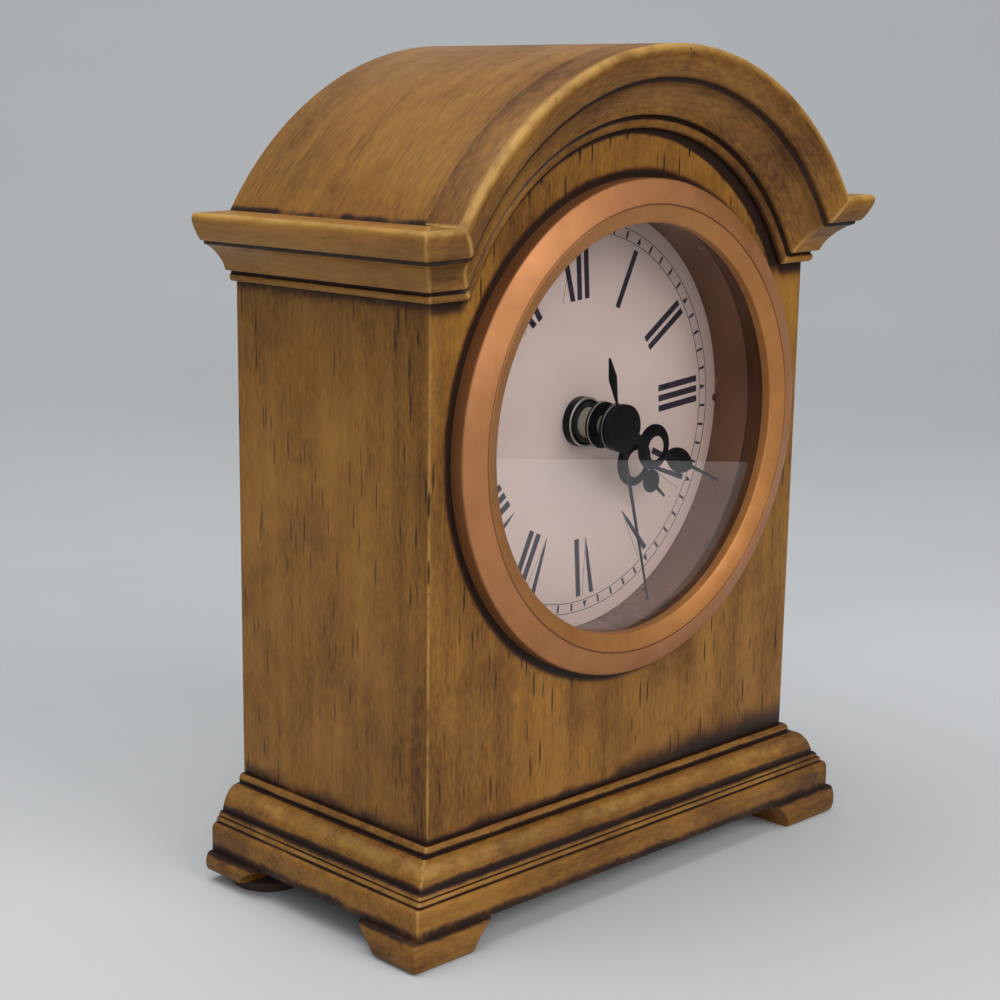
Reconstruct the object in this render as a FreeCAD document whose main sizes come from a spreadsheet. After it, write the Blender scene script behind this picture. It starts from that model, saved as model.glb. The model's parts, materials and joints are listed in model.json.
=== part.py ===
import FreeCAD, Part
import math
import os
import Sketcher

# Arched shelf clock with a battery movement, in millimetres.
# The frame: +Z up, the dial faces -Y, the origin is on the table under the middle of the clock.
# Inside a piece, y is counted from the front face of the case: minus in front of it, plus behind it.

SIZES = {
    # Case
    "case_width": 100.0,
    "case_depth": 50.5,
    "front_thickness": 9.0,
    "side_thickness": 6.0,
    "roof_thickness": 6.0,
    "back_thickness": 4.0,
    "back_inset": 1.0,
    "base_height": 19.3,
    "panel_height": 94.1,
    "cornice_height": 12.7,
    "roof_radius": 60.8,
    "roof_centre_drop": 32.35,
    "arch_moulding_width": 14.4,
    "cornice_side_overhang": 10.0,
    "cornice_front_overhang": 9.2,
    # Base and feet
    "base_side_overhang": 8.2,
    "base_front_overhang": 6.2,
    "foot_height": 5.6,
    "foot_side_flare": 1.7,
    "foot_front_flare": 0.9,
    "foot_front_length": 17.5,
    "foot_side_length": 14.0,
    "foot_end_cove": 4.2,
    "base_recess_depth": 3.0,
    "base_rim": 9.0,
    "pad_diameter": 14.0,
    "pad_thickness": 1.8,
    "pad_inset": 7.65,
    # Back and inner woodwork
    "access_diameter": 78.0,
    "glue_block_leg": 7.0,
    "glue_block_length": 16.0,
    # Dial insert
    "dial_rise": 67.2,
    "bezel_diameter": 90.2,
    "bezel_proud": 2.7,
    "bezel_opening": 74.6,
    "bezel_crest_width": 3.2,
    "bezel_crest_rise": 1.8,
    "bezel_lip_fall": 1.3,
    "lens_thickness": 1.5,
    "lens_diameter": 81.0,
    "lens_fit": 0.1,
    "drum_diameter": 82.0,
    "drum_wall": 1.3,
    "drum_floor": 1.5,
    "dial_depth": 12.5,
    "dial_thickness": 0.4,
    "dial_fit": 0.1,
    "notch_radius": 0.8,
    # Bush, nut and tubes on the dial axis
    "bush_diameter": 7.4,
    "bush_fit": 0.1,
    "nut_diameter": 9.4,
    "nut_thickness": 1.9,
    "bush_proud": 0.3,
    "washer_thickness": 0.5,
    "washer_diameter": 16.0,
    "running_gap": 0.05,
    "hour_tube_diameter": 5.7,
    "minute_tube_diameter": 3.7,
    "second_arbor_diameter": 1.2,
    "hub_diameter": 8.8,
    "hour_hub_thickness": 0.6,
    "minute_hub_thickness": 0.7,
    "second_cap_thickness": 1.1,
    "hour_hand_depth": 6.6,
    "minute_hand_depth": 3.2,
    "second_hand_depth": 1.5,
    "hand_thickness": 0.3,
    "second_hand_thickness": 0.2,
    # Hands, along the hand from its axis
    "hour_ring_reach": 12.4,
    "hour_ring_diameter": 9.2,
    "hour_hole_diameter": 5.2,
    "hour_hole_shift": 0.7,
    "hour_leaf_reach": 19.2,
    "hour_leaf_width": 4.4,
    "hour_reach": 24.5,
    "hour_stem_width": 2.0,
    "minute_ring_reach": 12.0,
    "minute_ring_diameter": 8.6,
    "minute_hole_diameter": 4.6,
    "minute_hole_shift": 0.8,
    "minute_leaf_reach": 20.4,
    "minute_leaf_width": 4.6,
    "minute_reach": 33.4,
    "minute_stem_width": 1.8,
    "hand_tip_width": 0.35,
    "second_reach": 35.2,
    "second_width": 1.0,
    "second_tail_leaf_reach": 9.8,
    "second_tail_leaf_width": 2.2,
    "second_tail_reach": 13.6,
    # Movement
    "movement_size": 56.0,
    "movement_depth": 16.0,
    "movement_wall": 1.2,
    "bay_end_wall": 1.0,
    "bay_floor": 1.0,
    "bay_height": 14.6,
    "battery_diameter": 14.2,
    "battery_length": 49.3,
    "battery_nub_diameter": 5.2,
    "battery_nub_length": 1.2,
    "battery_side_gap": 0.2,
    "contact_thickness": 0.4,
    "contact_width": 9.0,
    "contact_height": 8.0,
    "contact_gap": 0.05,
    "plate_thickness": 1.0,
    "wheel_thickness": 0.8,
    "layer_gap": 0.3,
    "post_width": 3.0,
    "boss_inset": 3.3,
    "sleeve_wall": 0.25,
    "arbor_diameter": 1.0,
    "stud_diameter": 0.7,
    "pivot_depth": 0.7,
    "setting_arbor_diameter": 2.0,
    "knob_diameter": 9.0,
    "knob_length": 3.5,
    # Gears: the distances between centres and the directions of the arbors, in degrees
    "setting_distance": 12.0,
    "third_distance": 10.2,
    "rotor_step": 7.0,
    "setting_direction": 150.0,
    "third_direction": 60.0,
    "intermediate_direction": -10.0,
    "rotor_direction": 0.0,
    # Motor and circuit
    "magnet_diameter": 5.6,
    "magnet_length": 2.2,
    "stator_gap": 0.5,
    "stator_width": 17.0,
    "stator_height": 15.0,
    "stator_thickness": 1.0,
    "stator_leg": 3.0,
    "stator_margin": 5.0,
    "stator_post_width": 2.0,
    "coil_diameter": 4.4,
    "coil_core_width": 2.0,
    "coil_inset": 2.6,
    "board_width": 41.0,
    "board_height": 9.0,
    "board_margin": 3.0,
    "board_thickness": 1.0,
    "crystal_diameter": 2.0,
    "crystal_length": 6.0,
    # Where the hands stand, in degrees clockwise from twelve
    "hour_hand_turn": 131.0,
    "minute_hand_turn": 115.0,
    "second_hand_turn": 165.0,
    # Overrun of every cut past the solid it cuts
    "overrun": 2.0,
}

TOOTH_COUNTS = {
    "cannon": 10, "minute_wheel": 30, "setting_pinion": 8, "hour_wheel": 32,
    "centre_wheel": 48, "third_pinion": 6, "third_wheel": 45, "seconds_pinion": 6,
    "seconds_wheel": 30, "intermediate_pinion": 6, "intermediate_wheel": 36, "rotor_pinion": 6,
}

# Moulding profiles as (out, along) shares of the overhang and of the moulding's height.
# Two numbers are the end of a straight edge, four are an arc through its middle point.
CORNICE_SHARES = (
    (0.11, 0.0),
    (0.145, 0.012),
    (0.157, 0.05),
    (0.16, 0.148),
    (0.263, 0.164),
    (0.33, 0.3),
    (0.455, 0.425),
    (0.62, 0.52),
    (0.742, 0.57),
    (0.735, 0.6),
    (0.8, 0.612),
    (0.86, 0.66),
    (0.935, 0.78),
    (1.0, 0.9),
    (0.995, 0.965),
    (0.935, 1.0),
)
BASE_SHARES = (
    (0.09, 0.0),
    (0.165, 0.02, 0.19, 0.085),
    (0.175, 0.105),
    (0.475, 0.205, 0.68, 0.45),
    (0.7, 0.465),
    (0.83, 0.49, 0.86, 0.545),
    (0.86, 0.56),
    (0.96, 0.585, 1.0, 0.68),
    (1.0, 1.0),
)
# Toe of a bracket foot: shares of the flare and of the foot's height, from the top down
TOE_SHARES = (
    (0.45, 0.1),
    (0.93, 0.2, 1.0, 0.42),
    (0.98, 0.72, 0.55, 0.9),
    (0.2, 1.0),
)
# Inner end of a foot: shares of the cove and of the foot's height, from the bottom up
FOOT_END_SHARES = (
    (1.0, 1.0),
    (0.62, 0.45, 0.0, 0.12),
    (0.0, 0.0),
)
# Degrees in a half turn, and the layers of the going train with its magnet
HALF_TURN = 180
GOING_LAYERS = 5
# One gear tooth: half widths as shares of the tooth pitch, heights as shares of the module
TOOTH_ROOT_WIDTH_SHARE = 0.29
TOOTH_TIP_WIDTH_SHARE = 0.1
TOOTH_ABOVE_SHARE = 0.85
TOOTH_BELOW_SHARE = 1.1


class Size:
    """A size that knows its value and the spreadsheet expression it is worked out with."""

    def __init__(self, value, text):
        self.value = value
        self.text = text

    def __add__(self, other):
        other = as_size(other)
        if not other.value:
            return self
        return Size(self.value + other.value, f"({self.text} + {other.text})") if self.value else other

    def __sub__(self, other):
        return self + -as_size(other)

    def __mul__(self, other):
        other = as_size(other)
        product = self.value * other.value
        return Size(product, f"({self.text} * {other.text})") if product else ZERO

    def __truediv__(self, other):
        other = as_size(other)
        return Size(self.value / other.value, f"({self.text} / {other.text})") if self.value else ZERO

    def __neg__(self):
        return Size(-self.value, f"(-{self.text})") if self.value else ZERO

    __radd__ = __add__
    __rmul__ = __mul__


ZERO = Size(0.0, "0")


def as_size(number):
    if isinstance(number, Size):
        return number
    return Size(float(number), f"({float(number)})") if number else ZERO


def root(size):
    return Size(math.sqrt(size.value), f"sqrt({size.text})")


def leg(long_side, short_side):
    """The third side of a right triangle, from its long side and one short side."""
    return root(long_side * long_side - short_side * short_side)


class Sheet:
    """Gives each driving dimension by its name."""

    def __init__(self, names):
        for name in names:
            setattr(self, name, Size(SIZES[name], f"Sizes.{name}"))


doc = FreeCAD.newDocument("ArchedShelfClock")
cells = doc.addObject("Spreadsheet::Sheet", "Sizes")
for row, (name, value) in enumerate(SIZES.items(), start=1):
    cells.set(f"A{row}", name)
    cells.set(f"B{row}", str(value))
    cells.setAlias(f"B{row}", name)
doc.recompute()

mm = Sheet(SIZES)
PIECES = []

# Heights above the table and depths behind the front face, worked out from the driving sizes
base_top = mm.base_height
cornice_bottom = base_top + mm.panel_height
cornice_top = cornice_bottom + mm.cornice_height
roof_centre = cornice_top - mm.roof_centre_drop
roof_top = roof_centre + mm.roof_radius
roof_inner_radius = mm.roof_radius - mm.roof_thickness
arch_inner_radius = mm.roof_radius - mm.arch_moulding_width
dial_centre = base_top + mm.dial_rise
half_width = mm.case_width / 2
inner_half_width = half_width - mm.side_thickness
front_shift = (mm.cornice_front_overhang - mm.case_depth) / 2
roof_foot = leg(mm.roof_radius, mm.roof_centre_drop)
roof_inner_foot = leg(roof_inner_radius, mm.roof_centre_drop)
arch_foot = leg(arch_inner_radius, mm.roof_centre_drop - mm.cornice_height)
drum_radius = mm.drum_diameter / 2
drum_inner_radius = drum_radius - mm.drum_wall
drum_back = mm.dial_depth + mm.dial_thickness + mm.drum_floor
movement_front = drum_back + mm.washer_thickness
movement_back = movement_front + mm.movement_depth
half_movement = mm.movement_size / 2
nut_front = mm.dial_depth - mm.nut_thickness


def vector(x=ZERO, y=ZERO, z=ZERO):
    return FreeCAD.Vector(x.value, y.value, z.value)


def place(piece, x=ZERO, z=ZERO, y=ZERO):
    """Stands a piece in the clock: y is counted from the front face of the case."""
    for axis, size in (("x", x), ("y", front_shift + y), ("z", z)):
        piece.setExpression(f"Placement.Base.{axis}", size.text)


def keep(piece, label, x=ZERO, z=ZERO):
    """Names a finished piece, places it and lists it for export."""
    piece.Label = label
    place(piece, x, z)
    PIECES.append(piece)
    return piece


def origin_feature(body, role):
    return next(item for item in body.Origin.OriginFeatures if item.Role == role)


def new_body(label):
    return doc.addObject("PartDesign::Body", label + "_body")


def new_sketch(body, role, offset=ZERO):
    sketch = body.newObject("Sketcher::SketchObject", "outline")
    sketch.AttachmentSupport = (origin_feature(body, role), [""])
    sketch.MapMode = "FlatFace"
    sketch.setExpression("AttachmentOffset.Base.z", offset.text)
    return sketch


def fix_point(sketch, rules, edge, end, x, y):
    """Ties one sketch point to its two sizes, or to an axis where a size is zero."""
    for kind, size, axis in (("DistanceX", x, -2), ("DistanceY", y, -1)):
        if size is ZERO:
            rules.append((Sketcher.Constraint("PointOnObject", edge, end, axis), None))
        else:
            rules.append((Sketcher.Constraint(kind, -1, 1, edge, end, size.value), size))


def add_rules(sketch, rules):
    first = sketch.ConstraintCount
    sketch.addConstraint([rule for rule, size in rules])
    for number, (rule, size) in enumerate(rules, start=first):
        if size is not None:
            sketch.renameConstraint(number, f"size_{number}")
            sketch.setExpression(f"Constraints.size_{number}", size.text)


def outline(sketch, points):
    """Draws one closed outline. A point (x, y) ends a straight edge, (mx, my, x, y) ends an arc."""
    rules = []
    ends = []
    here = points[-1][-2:]
    for point in points:
        there = point[-2:]
        start = FreeCAD.Vector(here[0].value, here[1].value, 0)
        finish = FreeCAD.Vector(there[0].value, there[1].value, 0)
        if len(point) == 2:
            edge = sketch.addGeometry(Part.LineSegment(start, finish), False)
            ends.append((edge, 1, 2))
        else:
            middle = FreeCAD.Vector(point[0].value, point[1].value, 0)
            circle = Part.Circle(start, middle, finish)
            centre = FreeCAD.Vector(circle.Center.x, circle.Center.y, 0)
            round_way = (middle - start).cross(finish - middle).z > 0
            first, last = (start, finish) if round_way else (finish, start)
            angles = [math.atan2(spot.y - centre.y, spot.x - centre.x) for spot in (first, last)]
            flat = Part.Circle(centre, FreeCAD.Vector(0, 0, 1), circle.Radius)
            edge = sketch.addGeometry(Part.ArcOfCircle(flat, angles[0], angles[1]), False)
            ends.append((edge, 1, 2) if round_way else (edge, 2, 1))
            mark = sketch.addGeometry(Part.Point(middle), True)
            fix_point(sketch, rules, mark, 1, point[0], point[1])
            rules.append((Sketcher.Constraint("PointOnObject", mark, 1, edge), None))
        fix_point(sketch, rules, edge, ends[-1][2], there[0], there[1])
        here = there
    for (edge, start_end, far_end), (following, near_end, other_end) in zip(ends, ends[1:] + ends[:1]):
        rules.append((Sketcher.Constraint("Coincident", edge, far_end, following, near_end), None))
    add_rules(sketch, rules)
    return sketch


def circle(sketch, radius, x=ZERO, y=ZERO):
    centre = FreeCAD.Vector(x.value, y.value, 0)
    ring = sketch.addGeometry(Part.Circle(centre, FreeCAD.Vector(0, 0, 1), radius.value), False)
    rules = []
    fix_point(sketch, rules, ring, 3, x, y)
    rules.append((Sketcher.Constraint("Radius", ring, radius.value), radius))
    add_rules(sketch, rules)
    return sketch


def rectangle(left, bottom, right, top):
    return [(right, bottom), (right, top), (left, top), (left, bottom)]


def pad(body, sketch, length, reverse=False):
    feature = body.newObject("PartDesign::Pad", "pad")
    feature.Profile = sketch
    feature.setExpression("Length", length.text)
    feature.Reversed = reverse
    body.Tip = feature
    return feature


def pocket(body, sketch, length, reverse=False):
    """Cuts a sketch out of the body, and stops the build if the cut removes nothing."""
    doc.recompute()
    before = body.Shape.Volume
    feature = body.newObject("PartDesign::Pocket", "pocket")
    feature.Profile = sketch
    feature.setExpression("Length", length.text)
    feature.Reversed = reverse
    body.Tip = feature
    doc.recompute()
    if not body.Shape.Volume < before:
        raise RuntimeError(f"a pocket of {body.Name} removes nothing")
    return feature


def front_sketch(body, y):
    """A sketch seen from the front, x to the right and z up, at depth y."""
    return new_sketch(body, "XZ_Plane", -y)


def plate(label, points, y, thickness):
    """A body padded backwards from a front view outline at depth y."""
    body = new_body(label)
    pad(body, outline(front_sketch(body, y), points), thickness, reverse=True)
    return body


def turned(label, points, z=dial_centre, x=ZERO):
    """A body revolved about an axis along Y, from an outline of (y, radius) points."""
    body = new_body(label)
    sketch = outline(new_sketch(body, "YZ_Plane"), points)
    feature = body.newObject("PartDesign::Revolution", "turned")
    feature.Profile = sketch
    feature.ReferenceAxis = (origin_feature(body, "Y_Axis"), [""])
    body.Tip = feature
    return keep(body, label, x, z)


def box(label, x, y, z, width, depth, height):
    """A block between its lowest corner and the corner opposite, in clock coordinates."""
    block = doc.addObject("Part::Box", label)
    for name, size in (("Length", width), ("Width", depth), ("Height", height)):
        block.setExpression(name, size.text)
    place(block, x, z, y)
    return block


def cylinder(label, radius, length, axis, x, y, z):
    """A round bar from its lower end face, along +Z, +X or +Y, in clock coordinates."""
    bar = doc.addObject("Part::Cylinder", label)
    bar.setExpression("Radius", radius.text)
    bar.setExpression("Height", length.text)
    turns = {"X": ((0, 1, 0), 90), "Y": ((1, 0, 0), -90), "Z": ((0, 0, 1), 0)}
    direction, degrees = turns[axis]
    bar.Placement = FreeCAD.Placement(FreeCAD.Vector(),
                                      FreeCAD.Rotation(FreeCAD.Vector(*direction), degrees))
    place(bar, x, z, y)
    return bar


def joined(label, members):
    """Several solids as one tool or member."""
    union = doc.addObject("Part::MultiFuse", label)
    union.Shapes = members
    return union


def group(label, members):
    """Several separate solids kept as one piece."""
    together = doc.addObject("Part::Compound", label)
    together.Links = members
    together.Label = label
    PIECES.append(together)
    return together


def shape_piece(label, shape, x=ZERO, z=ZERO):
    """A piece whose shape is worked out with shape functions."""
    feature = doc.addObject("Part::Feature", label)
    feature.Shape = shape
    return keep(feature, label, x, z)


def moulding(shares, out, along, start_out=ZERO, start_along=ZERO):
    """Turns a profile of shares into points (out, along)."""
    points = []
    for share in shares:
        sizes = []
        for number, value in enumerate(share):
            scale, start = (out, start_out) if number % 2 == 0 else (along, start_along)
            sizes.append(start + scale * value)
        points.append(tuple(sizes))
    return points


def shifted(points, x_scale=1, x=ZERO, y_scale=1, y=ZERO):
    moved = []
    for point in points:
        pairs = zip(point[::2], point[1::2])
        moved.append(tuple(size for a, b in pairs for size in (x + a * x_scale, y + b * y_scale)))
    return moved


def backwards(points):
    """The same outline walked the other way. The first point becomes the last end."""
    ends = [point[-2:] for point in points]
    walked = [ends[-1]]
    for point, before in zip(reversed(points[1:]), reversed(ends[:-1])):
        walked.append(tuple(point[:-2]) + tuple(before))
    return walked


# Case panels: the front panel is full width, the sides stand behind it
def make_front_panel():
    top = roof_centre + roof_inner_radius
    points = [(half_width, base_top), (half_width, cornice_top), (roof_inner_foot, cornice_top),
              (ZERO, top, -roof_inner_foot, cornice_top), (-half_width, cornice_top),
               (-half_width, base_top)]
    body = plate("front_panel", points, ZERO, mm.front_thickness)
    bore = circle(front_sketch(body, -mm.overrun), drum_radius, ZERO, dial_centre)
    pocket(body, bore, mm.front_thickness + mm.overrun * 2)
    return keep(body, "front_panel")


def make_side_panel(label, side):
    left = inner_half_width if side > 0 else -half_width
    points = rectangle(left, base_top, left + mm.side_thickness, cornice_top)
    body = plate(label, points, mm.front_thickness, mm.case_depth - mm.front_thickness)
    return keep(body, label)


def make_roof():
    points = [(roof_foot, cornice_top), (ZERO, roof_top, -roof_foot, cornice_top),
              (-roof_inner_foot, cornice_top),
              (ZERO, roof_centre + roof_inner_radius, roof_inner_foot, cornice_top)]
    return keep(plate("roof_panel", points, ZERO, mm.case_depth), "roof_panel")


# Cornice: one profile, run down both sides, across the two ears and round the arch, mitred where it turns
def make_cornice(label, side):
    body = new_body(label)
    points = moulding(CORNICE_SHARES, mm.cornice_side_overhang * side, mm.cornice_height,
                      start_out=half_width * side, start_along=cornice_bottom)
    points += [(half_width * side, cornice_top), (half_width * side, cornice_bottom)]
    sketch = outline(front_sketch(body, -mm.cornice_front_overhang), points)
    pad(body, sketch, mm.cornice_front_overhang + mm.case_depth, reverse=True)
    reach_x = half_width + mm.cornice_side_overhang * 2
    reach_y = -mm.cornice_front_overhang * 2
    near = half_width - mm.overrun
    mitre = new_sketch(body, "XY_Plane", cornice_bottom - mm.overrun)
    outline(mitre, [(half_width * side, ZERO), (reach_x * side, reach_y), (near * side, reach_y),
                    (near * side, ZERO)])
    pocket(body, mitre, mm.cornice_height + mm.overrun * 2, reverse=True)
    return keep(body, label)


def make_ear(label, side):
    body = new_body(label)
    tip = half_width + mm.cornice_side_overhang
    points = moulding(CORNICE_SHARES, -mm.cornice_front_overhang, mm.cornice_height,
                      start_along=cornice_bottom)
    points += [(ZERO, cornice_top), (ZERO, cornice_bottom)]
    sketch = outline(new_sketch(body, "YZ_Plane", tip * side), points)
    pad(body, sketch, tip - arch_foot, reverse=side > 0)
    reach_x = half_width + mm.cornice_side_overhang * 2
    corner = new_sketch(body, "XY_Plane", cornice_bottom - mm.overrun)
    outline(corner, [(half_width * side, ZERO), (reach_x * side, -mm.cornice_front_overhang * 2),
                     (reach_x * side, ZERO)])
    pocket(body, corner, mm.cornice_height + mm.overrun * 2, reverse=True)
    high_x = roof_foot * 2 - arch_foot
    high_z = cornice_top + mm.cornice_height
    near = arch_foot - mm.overrun
    mitre = front_sketch(body, -mm.cornice_front_overhang - mm.overrun)
    outline(mitre, [(high_x * side, high_z), (arch_foot * side, cornice_bottom),
                    (near * side, cornice_bottom),
                    (near * side, high_z)])
    pocket(body, mitre, mm.cornice_front_overhang + mm.overrun * 2)
    return keep(body, label)


def make_arch_moulding():
    body = new_body("arch_moulding")
    points = moulding(CORNICE_SHARES, -mm.cornice_front_overhang, mm.arch_moulding_width,
                      start_along=arch_inner_radius)
    points += [(ZERO, mm.roof_radius), (ZERO, arch_inner_radius)]
    turn = body.newObject("PartDesign::Revolution", "arch")
    turn.Profile = outline(new_sketch(body, "YZ_Plane"), points)
    turn.ReferenceAxis = (origin_feature(body, "Y_Axis"), [""])
    body.Tip = turn
    far = mm.roof_radius + mm.overrun
    high_x = roof_foot * 2 - arch_foot
    high_z = mm.roof_centre_drop + mm.cornice_height
    low_z = mm.roof_centre_drop - mm.cornice_height
    below = front_sketch(body, -mm.cornice_front_overhang - mm.overrun)
    outline(below, [(high_x, high_z), (arch_foot, low_z), (-arch_foot, low_z), (-high_x, high_z),
                    (-far * 2, high_z), (-far * 2, -far), (far * 2, -far), (far * 2, high_z)])
    pocket(body, below, mm.cornice_front_overhang + mm.overrun * 2)
    reach_x = half_width + mm.cornice_side_overhang * 2
    reach_y = -mm.cornice_front_overhang * 2
    corners = new_sketch(body, "XY_Plane", low_z)
    for side in (-1, 1):
        outline(corners, [(half_width * side, ZERO), (reach_x * side, reach_y), (reach_x * side, ZERO)])
    pocket(body, corners, mm.cornice_height, reverse=True)
    return keep(body, "arch_moulding", z=roof_centre)


# Base: a moulded board on four bracket feet, mitred at its front corners
def make_base():
    height = mm.base_height - mm.foot_height
    right = [(half_width, base_top)]
    right += moulding(BASE_SHARES, mm.base_side_overhang, -height, start_out=half_width,
                      start_along=base_top)
    body = plate("base_plinth", right + backwards(shifted(right, x_scale=-1)), -mm.base_front_overhang,
                 mm.base_front_overhang + mm.case_depth)
    far_y = -mm.base_front_overhang - mm.overrun
    far_x = half_width + mm.base_side_overhang + mm.overrun
    front = new_sketch(body, "YZ_Plane", -far_x)
    outline(front, [(far_y, base_top + mm.overrun), (ZERO, base_top + mm.overrun), (ZERO, base_top)]
            + moulding(BASE_SHARES, -mm.base_front_overhang, -height, start_along=base_top)
            + [(-mm.base_front_overhang, mm.foot_height - mm.overrun),
               (far_y, mm.foot_height - mm.overrun)])
    pocket(body, front, far_x * 2, reverse=True)
    inner_x = half_width + mm.base_side_overhang - mm.base_rim
    recess = new_sketch(body, "XY_Plane", mm.foot_height)
    outline(recess, rectangle(-inner_x, mm.base_rim - mm.base_front_overhang, inner_x,
                               mm.case_depth - mm.base_rim))
    pocket(body, recess, mm.base_recess_depth, reverse=True)
    return keep(body, "base_plinth")


def make_foot(label, side, rear):
    """A block with a flared toe on its outer faces and a coved inner end along each wall."""
    bottom = mm.pad_thickness if rear else ZERO
    tall = mm.foot_height - bottom
    face = half_width + mm.base_side_overhang
    inner = face - mm.foot_front_length
    toe = moulding(TOE_SHARES, mm.foot_side_flare, -tall, start_out=face, start_along=mm.foot_height)
    end = moulding(FOOT_END_SHARES, mm.foot_end_cove, -tall, start_out=inner, start_along=mm.foot_height)
    front_y = -mm.base_front_overhang
    near_y = mm.case_depth - mm.foot_side_length if rear else front_y - mm.foot_front_flare
    far_y = mm.case_depth if rear else front_y + mm.foot_side_length
    body = plate(label, shifted([(face, mm.foot_height)] + toe + end, x_scale=side), near_y, far_y - near_y)
    high = mm.foot_height + mm.overrun
    low = bottom - mm.overrun
    across = mm.foot_front_length + mm.foot_side_flare + mm.overrun * 2
    start_x = (inner - mm.overrun) * side
    end_y = near_y if rear else far_y
    inwards = 1 if rear else -1
    cove = moulding(FOOT_END_SHARES, mm.foot_end_cove * inwards, -tall, start_out=end_y,
                    start_along=mm.foot_height)
    out_y = end_y - mm.overrun * inwards
    cut = new_sketch(body, "YZ_Plane", start_x)
    outline(cut, [(out_y, low), (end_y + mm.foot_end_cove * inwards, low)] + cove
            + [(end_y, high), (out_y, high)])
    pocket(body, cut, across, reverse=side > 0)
    if not rear:
        out_y = near_y - mm.overrun
        toe_y = moulding(TOE_SHARES, -mm.foot_front_flare, -tall, start_out=front_y,
                         start_along=mm.foot_height)
        cut = new_sketch(body, "YZ_Plane", start_x)
        outline(cut, [(out_y, high), (front_y, high), (front_y, mm.foot_height)] + toe_y
                + [(toe_y[-1][0], low), (out_y, low)])
        pocket(body, cut, across, reverse=side > 0)
    return keep(body, label)


def make_foot_pads():
    members = []
    for side in (-1, 1):
        x = (half_width + mm.base_side_overhang - mm.pad_inset) * side
        y = mm.case_depth - mm.pad_inset
        members.append(cylinder("foot_pad", mm.pad_diameter / 2, mm.pad_thickness, "Z", x, y, ZERO))
    return group("foot_pads", members)


# Back panel with its access opening, glued in between the sides and the roof
def make_back():
    back_y = mm.case_depth - mm.back_inset - mm.back_thickness
    shoulder = roof_centre + leg(roof_inner_radius, inner_half_width)
    points = [(inner_half_width, base_top), (inner_half_width, shoulder),
              (ZERO, roof_centre + roof_inner_radius, -inner_half_width, shoulder),
               (-inner_half_width, base_top)]
    body = plate("back_panel", points, back_y, mm.back_thickness)
    holes = front_sketch(body, back_y - mm.overrun)
    circle(holes, mm.access_diameter / 2, ZERO, dial_centre)
    pocket(body, holes, mm.back_thickness + mm.overrun * 2)
    return keep(body, "back_panel")


def make_glue_blocks():
    y = mm.front_thickness
    members = []
    for side in (-1, 1):
        for z in (base_top, cornice_top - mm.glue_block_length):
            body = new_body("glue_block")
            sketch = outline(new_sketch(body, "XY_Plane", z),
                             [(inner_half_width * side, y),
                              (inner_half_width * side, y + mm.glue_block_leg),
                              ((inner_half_width - mm.glue_block_leg) * side, y)])
            pad(body, sketch, mm.glue_block_length)
            place(body)
            members.append(body)
    return group("glue_blocks", members)


# Dial insert: bezel, lens and drum, pushed into the bore of the front panel
def make_bezel():
    rim = mm.bezel_diameter / 2
    opening = mm.bezel_opening / 2
    face = -mm.bezel_proud
    crest = face - mm.bezel_crest_rise
    seat = mm.lens_diameter / 2 + mm.lens_fit
    return turned("bezel_ring", [
        (ZERO, rim),
        (face, rim),
        (crest, opening + mm.bezel_crest_width),
        (crest + mm.bezel_lip_fall, opening),
        (-mm.lens_thickness, opening),
        (-mm.lens_thickness, seat),
        (ZERO, seat),
    ])


def ring(label, inner, outer, front, back):
    return turned(label, [(front, outer), (back, outer), (back, inner), (front, inner)])


def make_insert():
    make_bezel()
    PIECES.append(cylinder("lens", mm.lens_diameter / 2, mm.lens_thickness, "Y", ZERO,
                           -mm.lens_thickness, dial_centre))
    hole = mm.bush_diameter / 2 + mm.bush_fit
    seat = mm.dial_depth + mm.dial_thickness
    turned("dial_drum", [(ZERO, drum_radius), (drum_back, drum_radius), (drum_back, hole), (seat, hole),
                         (seat, drum_inner_radius), (ZERO, drum_inner_radius)])
    body = new_body("dial_plate")
    radius = drum_inner_radius - mm.dial_fit
    pad(body, circle(front_sketch(body, mm.dial_depth), radius, ZERO, dial_centre), mm.dial_thickness,
        reverse=True)
    holes = front_sketch(body, mm.dial_depth - mm.overrun)
    circle(holes, hole, ZERO, dial_centre)
    circle(holes, mm.notch_radius, radius, dial_centre)
    pocket(body, holes, mm.dial_thickness + mm.overrun * 2)
    keep(body, "dial_plate")
    bush = mm.bush_diameter / 2
    nut = mm.nut_diameter / 2
    ring("shaft_nut", bush, nut, nut_front, mm.dial_depth)
    ring("shaft_washer", hole, mm.washer_diameter / 2, drum_back, movement_front)


# Hands: flat blades in the front view, pointing to twelve before they are turned
def flat_face(points):
    """A flat face in the front view from the same kind of points as a sketch outline."""
    edges = []
    here = points[-1][-2:]
    for point in points:
        start = vector(here[0], ZERO, here[1])
        finish = vector(point[-2], ZERO, point[-1])
        if len(point) == 2:
            edges.append(Part.makeLine(start, finish))
        else:
            edges.append(Part.Arc(start, vector(point[0], ZERO, point[1]), finish).toShape())
        here = point[-2:]
    return Part.Face(Part.Wire(edges))


def disc(radius, z=ZERO):
    edge = Part.makeCircle(radius.value, vector(ZERO, ZERO, z), FreeCAD.Vector(0, -1, 0))
    return Part.Face(Part.Wire([edge]))


def mirrored_outline(points):
    """Closes an outline from its right half, walked up from the hub."""
    left = [tuple(-size if number % 2 == 0 else size for number, size in enumerate(point))
            for point in points]
    return points + backwards(left)


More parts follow.
